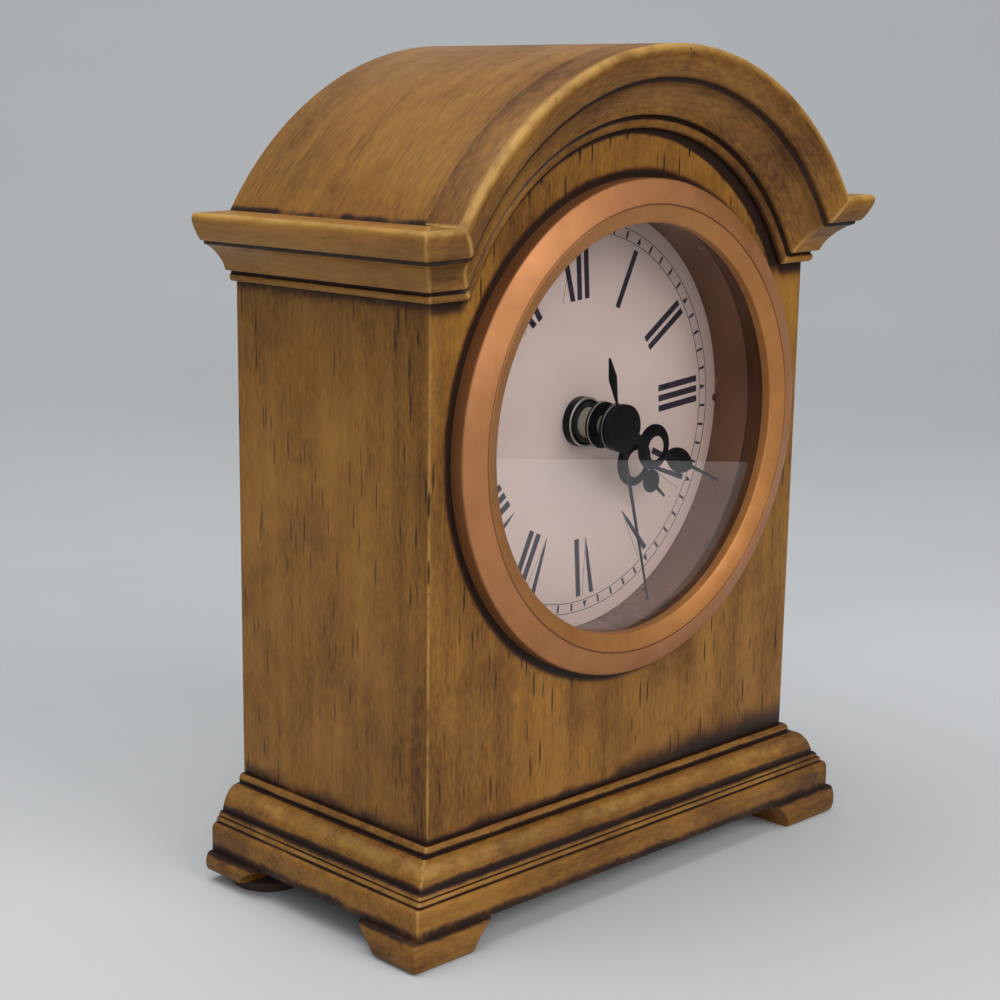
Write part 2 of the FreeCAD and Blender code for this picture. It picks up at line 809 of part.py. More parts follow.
def moon_hand(stem, ring_reach, ring_diameter, hole_diameter, hole_shift, leaf_reach, leaf_width, reach):
    """A stem, a round ring with its hole off centre, then a leaf that ends in a needle."""
    tip = mm.hand_tip_width / 2
    neck = ring_reach + ring_diameter / 2
    stem_face = flat_face(mirrored_outline([(stem / 2, ZERO), (stem / 2, ring_reach)]))
    leaf_end = leaf_reach * 2 - neck
    needle = flat_face(mirrored_outline([(stem / 4, ring_reach + hole_shift + hole_diameter / 2),
                                         (stem / 4, neck),
                                         (leaf_width / 2, leaf_reach, tip * 2, leaf_end), (tip, reach)]))
    blade = stem_face.fuse([disc(ring_diameter / 2, ring_reach), needle])
    blade = blade.cut(disc(hole_diameter / 2, ring_reach + hole_shift))
    return blade.removeSplitter()


def along_y(face, front, back):
    """A face of the front view made solid from depth front to depth back."""
    start = face.copy()
    start.translate(vector(ZERO, front, ZERO))
    return start.extrude(vector(ZERO, back - front, ZERO))


def tube(outer, inner, front, back):
    return along_y(disc(outer).cut(disc(inner)), front, back)


def make_hand(label, blade, blade_thickness, turn, front, thickness, bore, tube_radius):
    """A blade on a hub whose front plate covers the end of its tube."""
    skin = blade_thickness
    hub = tube(mm.hub_diameter / 2, bore, front, front + skin)
    hub = hub.fuse(tube(mm.hub_diameter / 2, tube_radius, front + skin, front + thickness))
    flat = along_y(blade.cut(disc(mm.hub_diameter / 2)), front + thickness - blade_thickness,
                    front + thickness)
    hand = hub.fuse(flat).removeSplitter()
    hand.rotate(vector(), FreeCAD.Vector(0, 1, 0), turn.value)
    return shape_piece(label, hand, z=dial_centre)


def make_hands():
    hour = moon_hand(mm.hour_stem_width, mm.hour_ring_reach, mm.hour_ring_diameter, mm.hour_hole_diameter,
                     mm.hour_hole_shift, mm.hour_leaf_reach, mm.hour_leaf_width, mm.hour_reach)
    minute = moon_hand(mm.minute_stem_width, mm.minute_ring_reach, mm.minute_ring_diameter,
                       mm.minute_hole_diameter,
                       mm.minute_hole_shift, mm.minute_leaf_reach, mm.minute_leaf_width, mm.minute_reach)
    make_hand("hour_hand", hour, mm.hand_thickness, mm.hour_hand_turn, mm.hour_hand_depth,
              mm.hour_hub_thickness,
              mm.minute_tube_diameter / 2 + mm.running_gap, mm.hour_tube_diameter / 2)
    make_hand("minute_hand", minute, mm.hand_thickness, mm.minute_hand_turn, mm.minute_hand_depth,
              mm.minute_hub_thickness, mm.second_arbor_diameter / 2 + mm.running_gap,
              mm.minute_tube_diameter / 2)
    wide = mm.second_width / 2
    tip = mm.hand_tip_width / 2
    leaf = mm.second_tail_leaf_width / 2
    point = flat_face(mirrored_outline([(wide, ZERO), (tip, mm.second_reach)]))
    tail = flat_face(mirrored_outline([(wide / 2, ZERO), (wide / 2, -mm.second_tail_leaf_reach / 2),
                                       (leaf, -mm.second_tail_leaf_reach), (tip, -mm.second_tail_reach)]))
    front = mm.second_hand_depth
    back = front + mm.second_cap_thickness
    blade = along_y(point.fuse(tail).removeSplitter(), back - mm.second_hand_thickness, back)
    cap = along_y(disc(mm.hub_diameter / 2), front, back)
    socket = along_y(disc(mm.second_arbor_diameter / 2), front + mm.second_hand_thickness, back)
    hand = cap.fuse(blade).removeSplitter().cut(socket)
    hand.rotate(vector(), FreeCAD.Vector(0, 1, 0), mm.second_hand_turn.value)
    shape_piece("second_hand", hand, z=dial_centre)


# Battery movement
bay_end = half_movement - mm.bay_end_wall
bay_bottom = -half_movement + mm.movement_wall
bay_top = bay_bottom + mm.bay_height
battery_z = bay_bottom + mm.bay_height / 2
battery_y = movement_front + mm.bay_floor + mm.battery_side_gap + mm.battery_diameter / 2
nub_tip = bay_end - mm.contact_thickness - mm.contact_gap
battery_end = nub_tip - mm.battery_nub_length
cavity_bottom = bay_top + mm.movement_wall
cavity_side = half_movement - mm.movement_wall
cover_front = movement_back - mm.plate_thickness
layer_start = movement_front + mm.movement_wall + mm.layer_gap
layer_step = mm.wheel_thickness + mm.layer_gap
motion_layers = [layer_start, layer_start + layer_step]
plate_front = layer_start + layer_step * 2
going_start = plate_front + mm.plate_thickness + mm.layer_gap
going_layers = [going_start + layer_step * number for number in range(GOING_LAYERS)]
bearing = mm.running_gap


def toward(distance, direction, start=(ZERO, ZERO)):
    """The spot at a distance and direction from another spot, seen from the front."""
    angle = math.radians(direction.value)
    across = Size(distance.value * math.cos(angle), f"({distance.text} * cos({direction.text}))")
    up = Size(distance.value * math.sin(angle),
              f"({distance.text} * sin({direction.text}))") if angle else ZERO
    return start[0] + across, start[1] + up


setting_spot = toward(mm.setting_distance, mm.setting_direction)
third_spot = toward(mm.third_distance, mm.third_direction)
intermediate_spot = toward(mm.rotor_step, mm.intermediate_direction)
rotor_spot = toward(mm.rotor_step, mm.rotor_direction, intermediate_spot)
post_x = cavity_side - mm.boss_inset
post_low = cavity_bottom + mm.boss_inset
post_high = half_movement - mm.movement_wall - mm.boss_inset
post_spots = [(-post_x, post_low), (-post_x, post_high), (post_x, post_high)]


def square_posts(body, y, spots, half):
    sketch = front_sketch(body, y)
    for x, z in spots:
        outline(sketch, rectangle(x - half, z - half, x + half, z + half))
    return sketch


def make_housing():
    body = plate("movement_housing", rectangle(-half_movement, -half_movement, half_movement,
                                               half_movement),
                 movement_front, mm.movement_depth - mm.plate_thickness)
    inside = mm.movement_depth + mm.overrun
    bay = front_sketch(body, movement_front + mm.bay_floor)
    pocket(body, outline(bay, rectangle(-bay_end, bay_bottom, bay_end, bay_top)), inside)
    cavity = front_sketch(body, movement_front + mm.movement_wall)
    pocket(body, outline(cavity, rectangle(-cavity_side, cavity_bottom, cavity_side, cavity_side)), inside)
    pad(body, circle(front_sketch(body, nut_front - mm.bush_proud), mm.bush_diameter / 2),
        movement_front - nut_front + mm.bush_proud, reverse=True)
    posts = square_posts(body, movement_front + mm.movement_wall, post_spots, mm.post_width / 2)
    pad(body, posts, plate_front - movement_front - mm.movement_wall, reverse=True)
    bore = circle(front_sketch(body, ZERO), mm.hour_tube_diameter / 2 + bearing)
    pocket(body, bore, movement_front + mm.movement_wall + mm.overrun)
    pivot = front_sketch(body, movement_front + mm.movement_wall - mm.pivot_depth)
    circle(pivot, mm.setting_arbor_diameter / 2 + bearing, *setting_spot)
    pocket(body, pivot, mm.pivot_depth + mm.overrun)
    return keep(body, "movement_housing", z=dial_centre)


def make_train_plate():
    edge = mm.post_width / 2
    points = rectangle(-post_x - edge, post_low - edge, post_x + edge, post_high + edge)
    body = plate("train_plate", points, plate_front, mm.plate_thickness)
    holes = front_sketch(body, plate_front - mm.overrun)
    circle(holes, mm.post_width / 2 + bearing)
    circle(holes, mm.setting_arbor_diameter / 2 + bearing, *setting_spot)
    pocket(body, holes, mm.plate_thickness + mm.overrun * 2)
    pivot = front_sketch(body, plate_front + mm.plate_thickness - mm.pivot_depth)
    circle(pivot, mm.arbor_diameter / 2 + bearing, *third_spot)
    pocket(body, pivot, mm.pivot_depth + mm.overrun)
    return keep(body, "train_plate", z=dial_centre)


def make_cover():
    """The rear plate, with its posts, the two studs and the posts that hold the stator."""
    body = plate("movement_cover", rectangle(-half_movement, bay_top, half_movement, half_movement),
                 cover_front, mm.plate_thickness)
    posts = square_posts(body, plate_front + mm.plate_thickness, post_spots, mm.post_width / 2)
    pad(body, posts, cover_front - plate_front - mm.plate_thickness, reverse=True)
    stator_back = magnet_front + mm.magnet_length / 2 + mm.stator_thickness / 2
    holders = square_posts(body, stator_back, stator_posts, mm.stator_post_width / 2)
    pad(body, holders, cover_front - stator_back, reverse=True)
    for spot, start in ((intermediate_spot, going_layers[2]), (rotor_spot, going_layers[3])):
        stud = circle(front_sketch(body, start), mm.stud_diameter / 2, *spot)
        pad(body, stud, cover_front - start, reverse=True)
    pivots = front_sketch(body, cover_front - mm.overrun)
    circle(pivots, mm.arbor_diameter / 2 + bearing)
    circle(pivots, mm.arbor_diameter / 2 + bearing, *third_spot)
    pocket(body, pivots, mm.pivot_depth + mm.overrun)
    knob_hole = front_sketch(body, cover_front - mm.overrun)
    circle(knob_hole, mm.setting_arbor_diameter / 2 + bearing, *setting_spot)
    pocket(body, knob_hole, mm.plate_thickness + mm.overrun * 2)
    return keep(body, "movement_cover", z=dial_centre)


# Gears
def toothed(teeth, module, phase):
    """A toothed wheel's outline as a face, with a tooth at the phase angle in degrees."""
    pitch = 360 / teeth
    root_radius = module * (teeth / 2 - TOOTH_BELOW_SHARE)
    tip_radius = module * (teeth / 2 + TOOTH_ABOVE_SHARE)
    points = []
    for tooth in range(teeth):
        for share, radius in ((-TOOTH_ROOT_WIDTH_SHARE, root_radius), (-TOOTH_TIP_WIDTH_SHARE, tip_radius),
                              (TOOTH_TIP_WIDTH_SHARE, tip_radius), (TOOTH_ROOT_WIDTH_SHARE, root_radius)):
            angle = math.radians(phase + pitch * (tooth + share))
            points.append((radius * math.cos(angle), radius * math.sin(angle)))
    return flat_face(points)


def meshed(phase, teeth, partner_teeth, direction):
    """The partner's phase, when the partner stands in a direction from a wheel with this phase."""
    pitch = 360 / teeth
    partner_pitch = 360 / partner_teeth
    step = ((phase - direction) % pitch) / pitch
    return direction + HALF_TURN - step * partner_pitch + partner_pitch / 2


def layer(face, bore_radius, front):
    return along_y(face.cut(disc(bore_radius)), front, front + mm.wheel_thickness)


def gear_pair(large, small, distance):
    return distance * 2 / (TOOTH_COUNTS[large] + TOOTH_COUNTS[small])


def make_motion_work():
    counts = TOOTH_COUNTS
    direction = mm.setting_direction.value
    first, second = motion_layers
    hour_module = gear_pair("hour_wheel", "setting_pinion", mm.setting_distance)
    minute_module = gear_pair("minute_wheel", "cannon", mm.setting_distance)
    opposite = direction + HALF_TURN
    minute_bore = mm.minute_tube_diameter / 2 + bearing
    hour_phase = meshed(0, counts["setting_pinion"], counts["hour_wheel"], opposite)
    hour = layer(toothed(counts["hour_wheel"], hour_module, hour_phase), minute_bore, first)
    hour_tube = tube(mm.hour_tube_diameter / 2, minute_bore, mm.hour_hand_depth + mm.hand_thickness, first)
    shape_piece("hour_wheel", hour.fuse(hour_tube).removeSplitter(), z=dial_centre)
    arbor_bore = mm.second_arbor_diameter / 2 + bearing
    cannon = layer(toothed(counts["cannon"], minute_module, 0), arbor_bore, second)
    cannon_tube = tube(mm.minute_tube_diameter / 2, arbor_bore, mm.minute_hand_depth + mm.hand_thickness,
                       second)
    clutch_end = going_layers[0] + mm.wheel_thickness
    clutch_tube = tube(mm.post_width / 2, arbor_bore, second + mm.wheel_thickness, clutch_end)
    shape_piece("cannon_pinion", cannon.fuse([cannon_tube, clutch_tube]).removeSplitter(), z=dial_centre)
    minute_phase = meshed(0, counts["cannon"], counts["minute_wheel"], direction)
    arbor_front = movement_front + mm.movement_wall - mm.pivot_depth
    arbor_back = movement_back + mm.layer_gap + mm.knob_length - mm.plate_thickness
    arbor = along_y(disc(mm.setting_arbor_diameter / 2), arbor_front, arbor_back)
    pinion = along_y(toothed(counts["setting_pinion"], hour_module, 0), first, second)
    wheel = along_y(toothed(counts["minute_wheel"], minute_module, minute_phase), second, second
                    + mm.wheel_thickness)
    shape_piece("minute_wheel", wheel.fuse([pinion, arbor]).removeSplitter(), setting_spot[0],
                dial_centre + setting_spot[1])
    knob_front = movement_back + mm.layer_gap
    knob = along_y(disc(mm.knob_diameter / 2), knob_front, knob_front + mm.knob_length)
    knob = knob.cut(along_y(disc(mm.setting_arbor_diameter / 2), knob_front, arbor_back))
    shape_piece("setting_knob", knob, setting_spot[0], dial_centre + setting_spot[1])


def make_going_train():
    counts = TOOTH_COUNTS
    third_way = mm.third_direction.value
    step_way = mm.intermediate_direction.value
    rotor_way = mm.rotor_direction.value
    centre_module = gear_pair("centre_wheel", "third_pinion", mm.third_distance)
    third_module = gear_pair("third_wheel", "seconds_pinion", mm.third_distance)
    seconds_module = gear_pair("seconds_wheel", "intermediate_pinion", mm.rotor_step)
    rotor_module = gear_pair("intermediate_wheel", "rotor_pinion", mm.rotor_step)
    centre_layer, third_layer, seconds_layer, rotor_layer, magnet_layer = going_layers
    thick = mm.wheel_thickness
    centre_phase = meshed(0, counts["third_pinion"], counts["centre_wheel"], third_way + HALF_TURN)
    centre = layer(toothed(counts["centre_wheel"], centre_module, centre_phase),
                   mm.post_width / 2 + bearing, centre_layer)
    shape_piece("centre_wheel", centre, z=dial_centre)
    arbor = along_y(disc(mm.arbor_diameter / 2), plate_front + mm.plate_thickness - mm.pivot_depth,
                    cover_front + mm.pivot_depth)
    pinion = along_y(toothed(counts["third_pinion"], centre_module, 0), centre_layer, third_layer)
    wheel = along_y(toothed(counts["third_wheel"], third_module, 0), third_layer, third_layer + thick)
    shape_piece("third_wheel", wheel.fuse([pinion, arbor]).removeSplitter(), third_spot[0],
                dial_centre + third_spot[1])
    seconds_phase = meshed(0, counts["third_wheel"], counts["seconds_pinion"], third_way + HALF_TURN)
    arbor = along_y(disc(mm.second_arbor_diameter / 2), mm.second_hand_depth + mm.second_hand_thickness,
                    third_layer)
    tail = along_y(disc(mm.arbor_diameter / 2), seconds_layer, cover_front + mm.pivot_depth)
    pinion = along_y(toothed(counts["seconds_pinion"], third_module, seconds_phase), third_layer,
                     seconds_layer)
    wheel = along_y(toothed(counts["seconds_wheel"], seconds_module, 0), seconds_layer, seconds_layer
                    + thick)
    shape_piece("seconds_wheel", wheel.fuse([pinion, arbor, tail]).removeSplitter(), z=dial_centre)
    bore = mm.stud_diameter / 2 + bearing
    sleeve = bore + mm.sleeve_wall
    back = cover_front - mm.layer_gap
    pinion_phase = meshed(0, counts["seconds_wheel"], counts["intermediate_pinion"], step_way)
    pinion = along_y(toothed(counts["intermediate_pinion"], seconds_module, pinion_phase).cut(disc(bore)),
                     seconds_layer, rotor_layer)
    wheel = layer(toothed(counts["intermediate_wheel"], rotor_module, 0), bore, rotor_layer)
    hub = tube(sleeve, bore, rotor_layer + thick, back)
    shape_piece("intermediate_wheel", wheel.fuse([pinion, hub]).removeSplitter(), intermediate_spot[0],
                dial_centre + intermediate_spot[1])
    rotor_phase = meshed(0, counts["intermediate_wheel"], counts["rotor_pinion"], rotor_way)
    pinion = along_y(toothed(counts["rotor_pinion"], rotor_module, rotor_phase).cut(disc(bore)),
                     rotor_layer,
                     magnet_layer)
    magnet = tube(mm.magnet_diameter / 2, bore, magnet_layer, magnet_layer + mm.magnet_length)
    hub = tube(sleeve, bore, magnet_layer + mm.magnet_length, back)
    shape_piece("rotor", magnet.fuse([pinion, hub]).removeSplitter(), rotor_spot[0], dial_centre
                + rotor_spot[1])


# Stepping motor and circuit
magnet_front = going_layers[4]
stator_front = magnet_front + mm.magnet_length / 2 - mm.stator_thickness / 2
stator_left = rotor_spot[0] - mm.stator_margin
stator_right = stator_left + mm.stator_width
stator_low = rotor_spot[1] - mm.stator_height / 2
stator_high = rotor_spot[1] + mm.stator_height / 2
stator_posts = [(stator_left + mm.stator_leg / 2, stator_low + mm.stator_leg / 2),
                (stator_left + mm.stator_leg / 2, stator_high - mm.stator_leg / 2)]
coil_x = stator_right - mm.coil_inset
core_front = stator_front + mm.stator_thickness


def make_motor():
    window = rotor_spot[0] + mm.stator_margin
    low = stator_low + mm.stator_leg
    high = stator_high - mm.stator_leg
    points = [(stator_right, stator_low), (stator_right, low), (window, low), (window, high),
              (stator_right, high),
              (stator_right, stator_high), (stator_left, stator_high), (stator_left, stator_low)]
    body = plate("stator", points, stator_front, mm.stator_thickness)
    hole = circle(front_sketch(body, stator_front - mm.overrun), mm.magnet_diameter / 2 + mm.stator_gap,
                  *rotor_spot)
    pocket(body, hole, mm.stator_thickness + mm.overrun * 2)
    keep(body, "stator", z=dial_centre)
    core = box("coil_core", coil_x - mm.coil_core_width / 2, core_front, dial_centre + stator_low,
               mm.coil_core_width, mm.stator_thickness, mm.stator_height)
    wound = cylinder("coil_winding", mm.coil_diameter / 2, high - low, "Z", coil_x,
                     core_front + mm.stator_thickness / 2, dial_centre + low)
    coil = joined("motor_coil", [core, wound])
    coil.Label = "motor_coil"
    PIECES.append(coil)
    board_y = cover_front - mm.board_thickness
    board_z = dial_centre + half_movement - mm.movement_wall - mm.board_margin - mm.board_height
    PIECES.append(box("circuit_board", -mm.board_width / 2, board_y, board_z, mm.board_width,
                      mm.board_thickness,
                      mm.board_height))
    PIECES.append(cylinder("quartz_crystal", mm.crystal_diameter / 2, mm.crystal_length, "X",
                           -mm.crystal_length / 2, board_y - mm.crystal_diameter / 2, board_z
                           + mm.board_height / 2))


# Battery and its contacts
def make_battery():
    cell_z = dial_centre + battery_z
    can = cylinder("battery_can", mm.battery_diameter / 2, mm.battery_length, "X", battery_end
                   - mm.battery_length,
                   battery_y, cell_z)
    nub = cylinder("battery_nub", mm.battery_nub_diameter / 2, mm.battery_nub_length, "X", battery_end,
                   battery_y,
                   cell_z)
    cell = joined("battery", [can, nub])
    cell.Label = "battery"
    PIECES.append(cell)
    low_y = battery_y - mm.contact_width / 2
    low_z = cell_z - mm.contact_height / 2
    PIECES.append(box("positive_contact", bay_end - mm.contact_thickness, low_y, low_z,
                      mm.contact_thickness,
                      mm.contact_width, mm.contact_height))
    thin = mm.contact_thickness
    touch = battery_end - mm.battery_length - mm.contact_gap
    top = mm.contact_height / 2
    body = new_body("negative_contact")
    points = [(-bay_end, -top), (-bay_end + thin, -top), (touch, ZERO), (-bay_end + thin, top),
              (-bay_end, top),
              (-bay_end, top - thin), (touch - thin * 2, ZERO), (-bay_end, thin - top)]
    pad(body, outline(front_sketch(body, low_y), points), mm.contact_width, reverse=True)
    keep(body, "negative_contact", z=cell_z)


make_front_panel()
make_side_panel("left_side_panel", -1)
make_side_panel("right_side_panel", 1)
make_roof()
make_cornice("left_cornice", -1)
make_cornice("right_cornice", 1)
make_ear("left_ear_moulding", -1)
make_ear("right_ear_moulding", 1)
make_arch_moulding()
make_base()
make_foot("front_left_foot", -1, rear=False)
make_foot("front_right_foot", 1, rear=False)
make_foot("rear_left_foot", -1, rear=True)
make_foot("rear_right_foot", 1, rear=True)
make_foot_pads()
make_back()
make_glue_blocks()
make_insert()
make_hands()
make_housing()
make_train_plate()
make_cover()
make_motion_work()
make_going_train()
make_motor()
make_battery()

doc.recompute()
for item in doc.Objects:
    if {"Invalid", "Error"} & set(item.State):
        raise RuntimeError(f"{item.Name} ({item.Label}) is not in a good state: {item.State}")
os.makedirs("parts", exist_ok=True)
for piece in PIECES:
    if piece.Shape.isNull() or not piece.Shape.isValid():
        raise RuntimeError(f"{piece.Label} has no good shape")
    if not piece.Shape.Solids:
        raise RuntimeError(f"{piece.Label} has no solid")
for piece in PIECES:
    piece.Shape.exportStep(f"parts/{piece.Label}.step")
print(len(PIECES), "pieces written")
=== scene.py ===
# %% [markdown]
# # A small shelf clock with an arched top
# The real clock is a case of glued boards with a moulded cornice, a moulded arch and a moulded base. A
# turned bezel holds a flat lens over a deep drum, the dial lies at the drum's bottom, and a battery
# movement stands behind it. The CAD parts come in as a fixed frame. Here each of them gets its look, in
# its own place.

import json
import math

import bmesh
import bpy
from mathutils import Matrix, Vector

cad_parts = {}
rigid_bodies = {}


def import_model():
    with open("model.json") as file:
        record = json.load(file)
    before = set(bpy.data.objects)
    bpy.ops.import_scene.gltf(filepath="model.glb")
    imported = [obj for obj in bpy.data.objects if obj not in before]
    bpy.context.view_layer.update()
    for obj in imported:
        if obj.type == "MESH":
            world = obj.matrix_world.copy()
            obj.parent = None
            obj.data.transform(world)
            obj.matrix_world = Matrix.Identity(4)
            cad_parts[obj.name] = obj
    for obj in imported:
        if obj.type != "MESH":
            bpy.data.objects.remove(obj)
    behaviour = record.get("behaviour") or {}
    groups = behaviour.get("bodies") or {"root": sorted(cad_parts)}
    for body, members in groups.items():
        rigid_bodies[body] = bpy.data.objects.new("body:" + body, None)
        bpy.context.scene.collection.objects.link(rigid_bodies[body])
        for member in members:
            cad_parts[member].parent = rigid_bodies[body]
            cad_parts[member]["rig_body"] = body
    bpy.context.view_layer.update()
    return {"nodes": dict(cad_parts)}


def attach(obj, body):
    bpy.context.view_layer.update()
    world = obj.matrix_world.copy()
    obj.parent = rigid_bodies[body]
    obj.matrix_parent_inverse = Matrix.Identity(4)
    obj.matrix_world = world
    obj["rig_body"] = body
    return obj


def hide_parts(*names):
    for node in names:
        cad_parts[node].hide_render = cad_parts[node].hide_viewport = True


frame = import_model()
NODES = frame["nodes"]
MM = 0.001
print("parts in the frame:", len(NODES))

# %% [markdown]
# ## Sizes
# All lengths are in millimetres, and become metres where a mesh or a shader takes them. The table is at
# z = 0, the dial faces -Y, and the middle of the clock is at x = 0. These sizes are the CAD part's own,
# so that a moulding made here lands on the solid that it stands for. A size that one piece alone needs
# is beside it.

# %% Sizes that several pieces share
HALF_WIDTH = 50.0
FRONT, REAR = -20.65, 29.85
BASE_TOP, BASE_LOW = 19.3, 5.6
BASE_SIDE, BASE_FRONT = 8.2, 6.2
CORNICE_LOW, CORNICE_TOP = 113.4, 126.1
CORNICE_SIDE, CORNICE_FRONT = 10.0, 9.2
ARCH_CENTRE, ARCH_INNER, ARCH_OUTER = 93.75, 46.4, 60.8
DIAL_Z, DIAL_FACE = 86.5, -8.15
print("case:", 2 * HALF_WIDTH, "wide,", REAR - FRONT, "deep")

# %% [markdown]
# ## Finishing a piece
# Every piece ends the same way: normals outwards, smooth shading with the sharp edges kept, one
# material, the body that it rides on, and the CAD node that it stands for. Each step could be written
# out for each piece, but then one is soon forgotten. So two helpers do it for all of them.

# %% Make an object of a mesh
MATERIALS = {}


def shade_edges(mesh, sharp):
    """Smooth shading, with a hard edge where two faces meet at more than this angle."""
    mesh.shade_smooth()
    mesh.set_sharp_from_angle(angle=math.radians(sharp))


def write_mesh(work, mesh):
    bmesh.ops.recalc_face_normals(work, faces=work.faces)
    work.to_mesh(mesh)
    work.free()


def finish_piece(name, mesh, material, replaced, body="case"):
    """An object in the scene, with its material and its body."""
    piece = bpy.data.objects.new(name, mesh)
    bpy.context.scene.collection.objects.link(piece)
    mesh.materials.clear()
    mesh.materials.append(MATERIALS[material])
    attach(piece, body)
    if replaced:
        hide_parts(*replaced)
    return piece


def make_piece(name, points, faces, material, replaced, sharp=32, levels=None):
    """A piece from points in millimetres. levels gives each point a value, such as its place in a run."""
    mesh = bpy.data.meshes.new(name)
    mesh.from_pydata([tuple(c * MM for c in p) for p in points], [], faces)
    work = bmesh.new()
    work.from_mesh(mesh)
    write_mesh(work, mesh)
    for key, values in (levels or {}).items():
        layer = mesh.attributes.new(key, "FLOAT", "POINT")
        layer.data.foreach_set("value", values)
    shade_edges(mesh, sharp)
    return finish_piece(name, mesh, material, replaced)


# %% [markdown]
# ## Keeping a CAD shape
# Many pieces, such as wheels, hands and flat panels, already have their real shape in CAD. They could be
# drawn again, but a copy is surer. A CAD mesh is loose triangles, so the copy is merged into whole faces
# first. Then a Bevel modifier rounds its edges, because light catches a rounded edge and slides off a
# sharp one.

# %% Copy a CAD node and soften its edges
MERGE_DISTANCE = 0.002
FLAT_ANGLE, EDGE_ANGLE = 0.5, 30


def merged_copy(node):
    """A copy of a CAD node's mesh, and its points with the loose triangles joined into faces."""
    mesh = NODES[node].data.copy()
    work = bmesh.new()
    work.from_mesh(mesh)
    bmesh.ops.remove_doubles(work, verts=work.verts, dist=MERGE_DISTANCE * MM)
    bmesh.ops.dissolve_limit(work, angle_limit=math.radians(FLAT_ANGLE), verts=work.verts, edges=work.edges)
    return mesh, work


def plain_mesh(maker):
    """The mesh that an object's modifiers give. The object itself is taken away."""
    made = bpy.data.meshes.new_from_object(maker.evaluated_get(bpy.context.evaluated_depsgraph_get()))
    bpy.data.objects.remove(maker)
    return made


def softened(node, width, material, segments=2):
    """A CAD node's own shape, with its edges rounded by a width."""
    mesh, work = merged_copy(node)
    write_mesh(work, mesh)
    if width:
        maker = bpy.data.objects.new("edge_maker", mesh)
        bpy.context.scene.collection.objects.link(maker)
        bevel = maker.modifiers.new("soft edges", "BEVEL")
        bevel.width, bevel.segments = width * MM, segments
        bevel.limit_method, bevel.angle_limit = "ANGLE", math.radians(EDGE_ANGLE)
        bevel.harden_normals = False
        mesh = plain_mesh(maker)
    mesh.name = node + "_shown"
    shade_edges(mesh, 35)
    return finish_piece(mesh.name, mesh, material, [node], NODES[node]["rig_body"])


print("edges sharper than", EDGE_ANGLE, "degrees are rounded")

# %% [markdown]
# ## Curves and runs
# A moulding is a profile carried along a path, as a maker's cutter runs along a board. Blender's curves
# can do it with a bevel object, but the ends and the mitres would then be hard to hold. So the sections
# are worked out point by point and joined by quads. The profiles themselves are arcs and soft curves
# through a few points.

# %% Arcs, soft curves and the loft between sections
def arc_through(start, middle, end, steps):
    """Points of a circle through three points, without the first."""
    (ax, ay), (bx, by), (cx, cy) = start, middle, end
    d = 2 * (ax * (by - cy) + bx * (cy - ay) + cx * (ay - by))
    a2, b2, c2 = ax * ax + ay * ay, bx * bx + by * by, cx * cx + cy * cy
    ux = (a2 * (by - cy) + b2 * (cy - ay) + c2 * (ay - by)) / d
    uy = (a2 * (cx - bx) + b2 * (ax - cx) + c2 * (bx - ax)) / d
    first = math.atan2(ay - uy, ax - ux)
    via = math.atan2(by - uy, bx - ux)
    last = math.atan2(cy - uy, cx - ux)
    turn = (last - first) % math.tau
    if not 0 < (via - first) % math.tau < turn:
        turn -= math.tau
    radius = math.hypot(ax - ux, ay - uy)
    angles = [first + turn * k / steps for k in range(1, steps + 1)]
    return [(ux + radius * math.cos(angle), uy + radius * math.sin(angle)) for angle in angles]


def smooth_run(points, steps):
    """A soft curve through the points, with its ends kept."""
    run = [points[0]]
    for k in range(len(points) - 1):
        p0, p1, p2 = points[max(k - 1, 0)], points[k], points[k + 1]
        p3 = points[min(k + 2, len(points) - 1)]
        for step in range(1, steps + 1):
            t = step / steps
            run.append(tuple(0.5 * (2 * b + (c - a) * t + (2 * a - 5 * b + 4 * c - d) * t * t
                                    + (3 * b - a - 3 * c + d) * t ** 3)
                             for a, b, c, d in zip(p0, p1, p2, p3)))
    return run


def shares_along(points):
    """How far along the run each point lies, from 0 to 1."""
    far = [0.0]
    for a, b in zip(points, points[1:]):
        far.append(far[-1] + math.dist(a, b))
    return [f / far[-1] for f in far]


def loft(sections):
    """Quads between closed sections with the same number of points, and a cap on each end."""
    count = len(sections[0])
    points = [p for section in sections for p in section]
    faces = []
    for k in range(len(sections) - 1):
        for n in range(count):
            a, b = k * count + n, k * count + (n + 1) % count
            faces.append((a, b, b + count, a + count))
    faces.append(tuple(range(count)))
    last = (len(sections) - 1) * count
    faces.append(tuple(range(last, last + count)))
    return points, faces


print("an arc of four steps has", len(arc_through((0, 0), (1, 1), (2, 0), 4)), "new points")

# %% [markdown]
# ## A short way to write shaders
# A shader is a tree of nodes, and each node and link could be made by hand in the editor. Written as
# code, a node takes three or four lines. This class makes one line of it, so that a finish reads like a
# recipe: take a noise, pick a range of it, blend two colours by it.

# %% The shader tree and its colours
def colour(red, green, blue):
    """A colour given as 0 to 255 in display values, as the linear values that a shader takes."""
    def one(v):
        v /= 255
        return v / 12.92 if v <= 0.04045 else ((v + 0.055) / 1.055) ** 2.4
    return one(red), one(green), one(blue), 1.0


